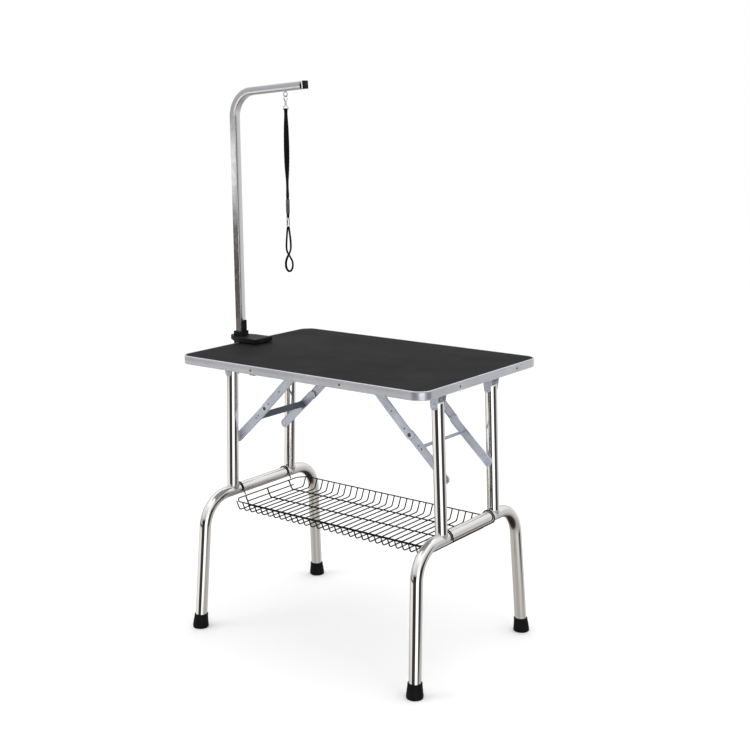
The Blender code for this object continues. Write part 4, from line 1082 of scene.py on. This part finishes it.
def link_shell(start, end, middle, side_x, side_y):
    """Pressed tray in X and Z whose web faces outwards in Y; the lip of the flange is rounded too."""
    arc = np.linspace(0.0, np.pi / 2, 6)
    bend, sheet, half = LINK_BEND, LINK_SHEET, LINK_HALF
    web = [(half, 0.0), (half * 0.5, 0.0)]
    corner = [(bend - bend * math.sin(a), bend - bend * math.cos(a)) for a in arc]
    lip = [(0.0, LINK_DEPTH - 0.0004), (0.0004, LINK_DEPTH)]
    lip += [(sheet - 0.0004, LINK_DEPTH), (sheet, LINK_DEPTH - 0.0004)]
    inner = [(sheet, sheet + 0.0006), (sheet + 0.0006, sheet), (half * 0.5, sheet), (half, sheet)]
    section = web + corner + lip + inner
    rows = []
    for inset, depth in section:
        outline = bar_outline(start, end, half - inset)
        y = np.full(len(outline), middle + LINK_DEPTH / 2 - depth)
        rows.append(np.column_stack((MIDDLE_X + side_x * outline[:, 0], side_y * y, outline[:, 1])))
    return grid_shell(np.stack(rows))


def head(place, y, side_x, side_y, radius, height):
    """Rivet head on a link's web, at an (x, z) place."""
    profile = [(0.0, -0.0004), (radius, 0.0), (radius * 0.85, height * 0.5)]
    profile += [(radius * 0.5, height * 0.9), (0.0, height)]
    return turned(profile, (MIDDLE_X + side_x * place[0], side_y * y, place[1]), (0, side_y, 0), 24)


def knee_shank(side_x, side_y):
    """Rivet shank from just above the lower link's web to the upper link's."""
    reach = UPPER_Y - LOWER_Y - 0.0001
    place = (MIDDLE_X + side_x * BRACE_KNEE[0], side_y * (LOWER_FACE + 0.0001), BRACE_KNEE[1])
    return turned([(0.0, 0.0), (0.0034, 0.0), (0.0034, reach), (0.0, reach)], place, (0, side_y, 0), 24)


for end_name, end in ENDS:
    upper_body, lower_body = f"{end_name}_brace_upper", f"{end_name}_brace_lower"
    for where, side in SIDES:
        name = f"{end_name}_{where}"
        upper = link_shell(BRACE_TOP, BRACE_KNEE, UPPER_Y, end, side)
        piece(f"{name}_upper_link", [upper], "zinc_steel", upper_body, [f"{name}_brace_upper"])
        places = [BRACE_KNEE + UP_LINK * step for step in UPPER_RIVETS]
        spots = [head(place, UPPER_FACE, end, side, RIVET_RADIUS, 0.0006) for place in places]
        piece(f"{name}_upper_rivets", spots, "rivets", upper_body)
        knee = [head(BRACE_KNEE, UPPER_FACE, end, side, KNEE_RIVET_RADIUS, 0.0009), knee_shank(end, side)]
        piece(f"{name}_knee_pin", knee, "rivets", upper_body, [f"{name}_knee_rivet"])
        lower = link_shell(BRACE_KNEE, BRACE_FOOT, LOWER_Y, end, side)
        piece(f"{name}_lower_link", [lower], "zinc_steel", lower_body, [f"{name}_brace_lower"])
        places = [BRACE_KNEE + DOWN_LINK * step for step in LOWER_RIVETS]
        spots = [head(place, LOWER_FACE, end, side, RIVET_RADIUS, 0.0004) for place in places]
        piece(f"{name}_lower_rivets", spots, "rivets", lower_body)

# %% [markdown]
# ## Basket
# Thirty U-shaped wires hang from the rim, twenty-two millimetres apart. Three long wires lie on them
# along the floor and turn up at both ends, and one more wire crosses each end wall at half height. All of
# them are welded where they touch, and then dipped in black plastic, which leaves a small blob at every
# crossing.

# %% Weld up the wire basket
RIM_LOW, RIM_HIGH = box("basket_rim")
RIM_WIRE = 0.00175
RIM_HALF_X = (RIM_HIGH[0] - RIM_LOW[0]) / 2 - RIM_WIRE
RIM_HALF_Y = (RIM_HIGH[1] - RIM_LOW[1]) / 2 - RIM_WIRE
RIM_Z = (RIM_LOW[2] + RIM_HIGH[2]) / 2
THIN_WIRE = 0.0018
FLOOR_WIRE_Z = box("basket_tray")[0][2] + THIN_WIRE
TAPER = 0.012
CORNER_CUT = 0.022
CROSS_WIRES = 30
CROSS_SPACING = 0.0220
CROSS_X = MIDDLE_X + (np.arange(CROSS_WIRES) - (CROSS_WIRES - 1) / 2) * CROSS_SPACING
LONG_WIRES_Y = (-0.098, -0.0065, 0.0885)


def rounded_route(corners, radius, steps=7):
    """Open polyline with rounded inner corners: each curve starts and ends where a circle of the radius would
    touch both sides, and is a quadratic whose middle point is the corner."""
    corners = np.asarray(corners, float)
    out = [corners[:1]]
    t = np.linspace(0.0, 1.0, steps)[:, None]
    for before, corner, after in zip(corners, corners[1:], corners[2:]):
        into, away = unit(corner - before), unit(after - corner)
        reach = radius * math.tan(math.acos(float(np.clip(np.dot(into, away), -1, 1))) / 2)
        start, end = corner - into * reach, corner + away * reach
        out.append((1 - t) ** 2 * start + 2 * t * (1 - t) * corner + t**2 * end)
    return np.vstack(out + [corners[-1:]])


def rim_route():
    """Rectangle with cut corners, each corner point slightly rounded."""
    corners = []
    for sx, sy in ((1, 1), (-1, 1), (-1, -1), (1, -1)):
        far_x, far_y = sx * RIM_HALF_X, sy * RIM_HALF_Y
        pair = [(far_x, far_y - sy * CORNER_CUT), (far_x - sx * CORNER_CUT, far_y)]
        corners += pair if sx * sy > 0 else pair[::-1]
    closed = corners[-1:] + corners + corners[:1]
    return rounded_route([(x + MIDDLE_X, y, RIM_Z) for x, y in closed], 0.009)[1:-1]


def cross_wire(x):
    """U in the YZ plane: down the sloping wall, round the bottom bend and across the floor."""
    foot_y = RIM_HALF_Y - TAPER
    half = [(x, foot_y, FLOOR_WIRE_Z), (x, RIM_HALF_Y, RIM_Z)]
    corners = [(x, -y, z) for x, y, z in half[::-1]] + half
    return round_wire(rounded_route(corners, 0.011), THIN_WIRE, 8, side=(1.0, 0.0, 0.0))


def long_wire(y):
    """The same U lengthwise, lying on the cross wires."""
    floor = FLOOR_WIRE_Z + 2 * THIN_WIRE - 0.0003
    foot = RIM_HALF_X - TAPER
    corners = [(-RIM_HALF_X, y, RIM_Z), (-foot, y, floor), (foot, y, floor), (RIM_HALF_X, y, RIM_Z)]
    route = rounded_route(np.array(corners) + (MIDDLE_X, 0, 0), 0.008)
    return round_wire(route, THIN_WIRE + 0.0002, 8, side=(0.0, 1.0, 0.0))


def end_wire(end):
    """Level wire across one end wall, half way up."""
    z = (RIM_Z + FLOOR_WIRE_Z) / 2
    x = MIDDLE_X + end * (RIM_HALF_X - TAPER / 2 - 2 * THIN_WIRE + 0.0004)
    y = np.linspace(LONG_WIRES_Y[0] - 0.004, LONG_WIRES_Y[2] + 0.010, 12)
    route = np.column_stack((np.full(12, x), y, np.full(12, z)))
    return round_wire(route, THIN_WIRE, 8, side=(0.0, 0.0, 1.0))


def blobs():
    """Small dip of plastic round each crossing, as one egg shape repeated."""
    angle = np.linspace(0.0, np.pi, 7)
    egg = np.column_stack((0.0021 * np.sin(angle), -0.0026 * np.cos(angle)))
    z = FLOOR_WIRE_Z + THIN_WIRE
    return [turned(egg, (x, y, z), steps=8) for x in CROSS_X for y in LONG_WIRES_Y]


grid = [cross_wire(x) for x in CROSS_X]
grid += [long_wire(y) for y in LONG_WIRES_Y] + [end_wire(-1), end_wire(1)] + blobs()
piece("basket_wires", grid, "coated_wire", "basket", ["basket_tray"])
rim = round_wire(rim_route(), RIM_WIRE, 12, True, (0.0, 0.0, 1.0))
piece("basket_rim_wire", [rim], "coated_wire", "basket", ["basket_rim"])

# %% Hook the basket on the cross tubes
HANGER_Y = 0.098
HANGER_REACH = 0.0184


def hanger_route(end):
    """Two hooks over the cross tube, joined along its outer side."""
    tube_x = LEG_X + CROSS_DROP * math.sin(LEAN)
    tube_z = LEG_Z - CROSS_DROP * math.cos(LEAN)
    angle = np.linspace(np.pi, 0.0, 24)
    over = HANGER_REACH * np.column_stack((np.cos(angle), np.sin(angle))) + (tube_x, tube_z)
    outer_x, foot_z = tube_x + HANGER_REACH, tube_z - 0.009
    rise = [(RIM_HALF_X, RIM_Z + 2 * RIM_WIRE), (tube_x - HANGER_REACH, tube_z - 0.004)]
    hook_xz = np.vstack((rise, over, [(outer_x, tube_z - 0.004)]))
    hook_points = np.column_stack((hook_xz[:, 0], np.full(len(hook_xz), HANGER_Y), hook_xz[:, 1]))
    turn = [(outer_x, HANGER_Y - 0.0015, foot_z + 0.0015), (outer_x, HANGER_Y - 0.006, foot_z)]
    run = [(outer_x, y, foot_z) for y in np.linspace(HANGER_Y - 0.012, 0.0, 8)]
    half = np.vstack((hook_points, turn, run))
    whole = np.vstack((half, (half * (1, -1, 1))[::-1][1:]))
    return whole * (end, 1, 1) + (MIDDLE_X, 0, 0)


for end_name, end in ENDS:
    wire = round_wire(hanger_route(end), RIM_WIRE, 12)
    piece(f"{end_name}_hanger_wire", [wire], "coated_wire", "basket", [f"{end_name}_basket_hanger"])

# %% [markdown]
# ## Arm
# The arm is square tube, bent cold. The section is a square with rounded corners, and in the bend its
# inner face wrinkles and dishes a little, as thin square tube does. A black plastic cap closes the end,
# and an eye bolt through the lower wall carries the hook.

# %% Bend the arm
ARM_LOW, ARM_HIGH = box("arm_tube")
ARM_SIDE = ARM_HIGH[1] - ARM_LOW[1]
ARM_X = ARM_LOW[0] + ARM_SIDE / 2
ARM_RISE = math.radians(4.1)
ARM_BEND = 0.072
ARM_CORNER_Z = 1.4745
ARM_END_X = MIDDLE_X - 0.1676
ARM_CORNER = 0.0016
ARM_WALL = 0.0015
ARM_DISH = 0.0016


def rounded_square(half, radius, steps=6):
    """The tube's outline: a rounded rectangle with equal sides."""
    return rounded_rectangle(half, half, radius, steps)


def arm_route():
    """Straight post, one bend that leaves the arm rising slightly, and the straight arm."""
    turn = np.pi / 2 - ARM_RISE
    reach = ARM_BEND * math.tan(turn / 2)
    angle = np.pi - np.linspace(0.0, turn, 48)
    centre = (ARM_X + ARM_BEND, ARM_CORNER_Z - reach)
    bend = ARM_BEND * np.column_stack((np.cos(angle), np.sin(angle))) + centre
    post = np.column_stack((np.full(24, ARM_X), np.linspace(ARM_LOW[2], bend[0, 1], 25)[:-1]))
    end = np.array((ARM_END_X, ARM_CORNER_Z + (ARM_END_X - ARM_X) * math.tan(ARM_RISE)))
    arm = bend[-1] + np.linspace(0.0, 1.0, 18)[1:, None] * (end - bend[-1])
    whole = np.vstack((post, bend, arm))
    return np.column_stack((whole[:, 0], np.zeros(len(whole)), whole[:, 1])), len(post), len(bend)


ARM_ROUTE, POST_ROWS, BEND_ROWS = arm_route()
outline = rounded_square(ARM_SIDE / 2, ARM_CORNER)
sections = np.repeat(outline[None], len(ARM_ROUTE), 0)
bent = np.zeros(len(ARM_ROUTE))
bent[POST_ROWS : POST_ROWS + BEND_ROWS] = np.sin(np.linspace(0.0, np.pi, BEND_ROWS)) ** 0.7
dish = np.clip(1.0 - np.abs(outline[:, 0]) / (ARM_SIDE / 2), 0.0, 1.0)
inner = np.abs(outline[:, 1]) > ARM_SIDE / 2 - 0.0005
sections[:, :, 1] -= bent[:, None] * np.sign(outline[:, 1]) * inner * dish * ARM_DISH
arm_shell = sweep(ARM_ROUTE, sections, (0.0, 1.0, 0.0), capped=False)
piece("arm_square_tube", [arm_shell], "chrome", "arm", ["arm_tube"], wall=ARM_WALL)

# %% Cap the arm and screw in the eye
CAP_THICKNESS = 0.0035
ARM_WAY = np.array((math.cos(ARM_RISE), 0.0, math.sin(ARM_RISE)))
cap_steps = np.array((-0.0140, 0.0002, 0.0003, 0.0007, 0.0024, 0.0031, CAP_THICKNESS))
cap_half = ARM_SIDE / 2 + np.array((-0.0020, -0.0018, 0.0001, 0.0003, 0.0003, 0.0, -0.0010))
cap_path = ARM_ROUTE[-1] + cap_steps[:, None] * ARM_WAY
cap_sections = rounded_square(1.0, 0.17)[None] * cap_half[:, None, None]
cap_shell = sweep(cap_path, cap_sections, (0.0, 1.0, 0.0))
piece("arm_cap", [cap_shell], "black_plastic", "arm", ["arm_end_cap"])

EYE_Z = HINGES["noose_swing"][2]
EYE_RADIUS = 0.0065
EYE_WIRE = 0.0015
angle = np.linspace(0.0, 2 * np.pi, 48, endpoint=False)
ring = np.column_stack((EYE_X + EYE_RADIUS * np.cos(angle), np.zeros(48), EYE_Z + EYE_RADIUS * np.sin(angle)))
shank = [(0.0, 0.0062), (0.0021, 0.0062), (0.0021, 0.0180), (0.0, 0.0180)]
collar = [(0.0, 0.0074), (0.0030, 0.0074), (0.0033, 0.0080), (0.0030, 0.0087), (0.0, 0.0087)]
eye_shells = [round_wire(ring, EYE_WIRE, 14, True, (0.0, 1.0, 0.0))]
eye_shells += [turned(profile, (EYE_X, 0, EYE_Z), steps=24) for profile in (shank, collar)]
piece("arm_eye", eye_shells, "chrome", "arm", ["arm_eye_bolt"])

# %% [markdown]
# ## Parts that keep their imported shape
# The board, the mat, the clamp with its knobs, and the brackets and pins are right as they are. They only
# get their finishes.

# %% Dress the carried-over parts
def dress(node, finish):
    """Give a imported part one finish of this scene."""
    node_object = frame["nodes"][node]
    node_object.data.materials.clear()
    node_object.data.materials.append(FINISHES[finish])


KEPT = {
    "top_board": "board",
    "top_mat": "mat_rubber",
    "clamp_body": "clamp_iron",
    "clamp_screw": "zinc_steel",
    "clamp_knob": "black_plastic",
    "clamp_pad": "black_plastic",
    "arm_lock_knob": "black_plastic",
    # Painted shade: the left crossbar gets the darkened zinc because it lies in shade, while the right
    # crossbar keeps the plain zinc.
    "left_brace_crossbar": "shaded_zinc",
    "right_brace_crossbar": "zinc_steel",
}
for end_name, end in ENDS:
    for where, side in SIDES:
        for kind in ("leg_bracket", "leg_pin", "brace_bracket"):
            KEPT[f"{end_name}_{where}_{kind}"] = "zinc_steel"
for node, finish in KEPT.items():
    dress(node, finish)
print(len(KEPT), "packed parts keep their shape")

# %% [markdown]
# ## Floor
# A plain pale floor, wide enough to run out of sight. The far floor and the backdrop both come out white,
# so no horizon shows. The metal doesn't reflect the floor: it reflects the painted studio instead.

# %% Lay the floor
floor_mesh = bpy.data.meshes.new("studio_floor")
FLOOR_HALF = 14.0
floor_corners = [(x * FLOOR_HALF, y * FLOOR_HALF, 0) for x, y in ((-1, -1), (1, -1), (1, 1), (-1, 1))]
floor_mesh.from_pydata(floor_corners, [], [(0, 1, 2, 3)])
floor = bpy.data.objects.new("studio_floor", floor_mesh)
start_finish("pale_floor", FLOOR_COLOUR, 1.0, Specular_IOR_Level=0.0)
floor_mesh.materials.append(FINISHES["pale_floor"])
bpy.context.scene.collection.objects.link(floor)
floor.visible_glossy = False
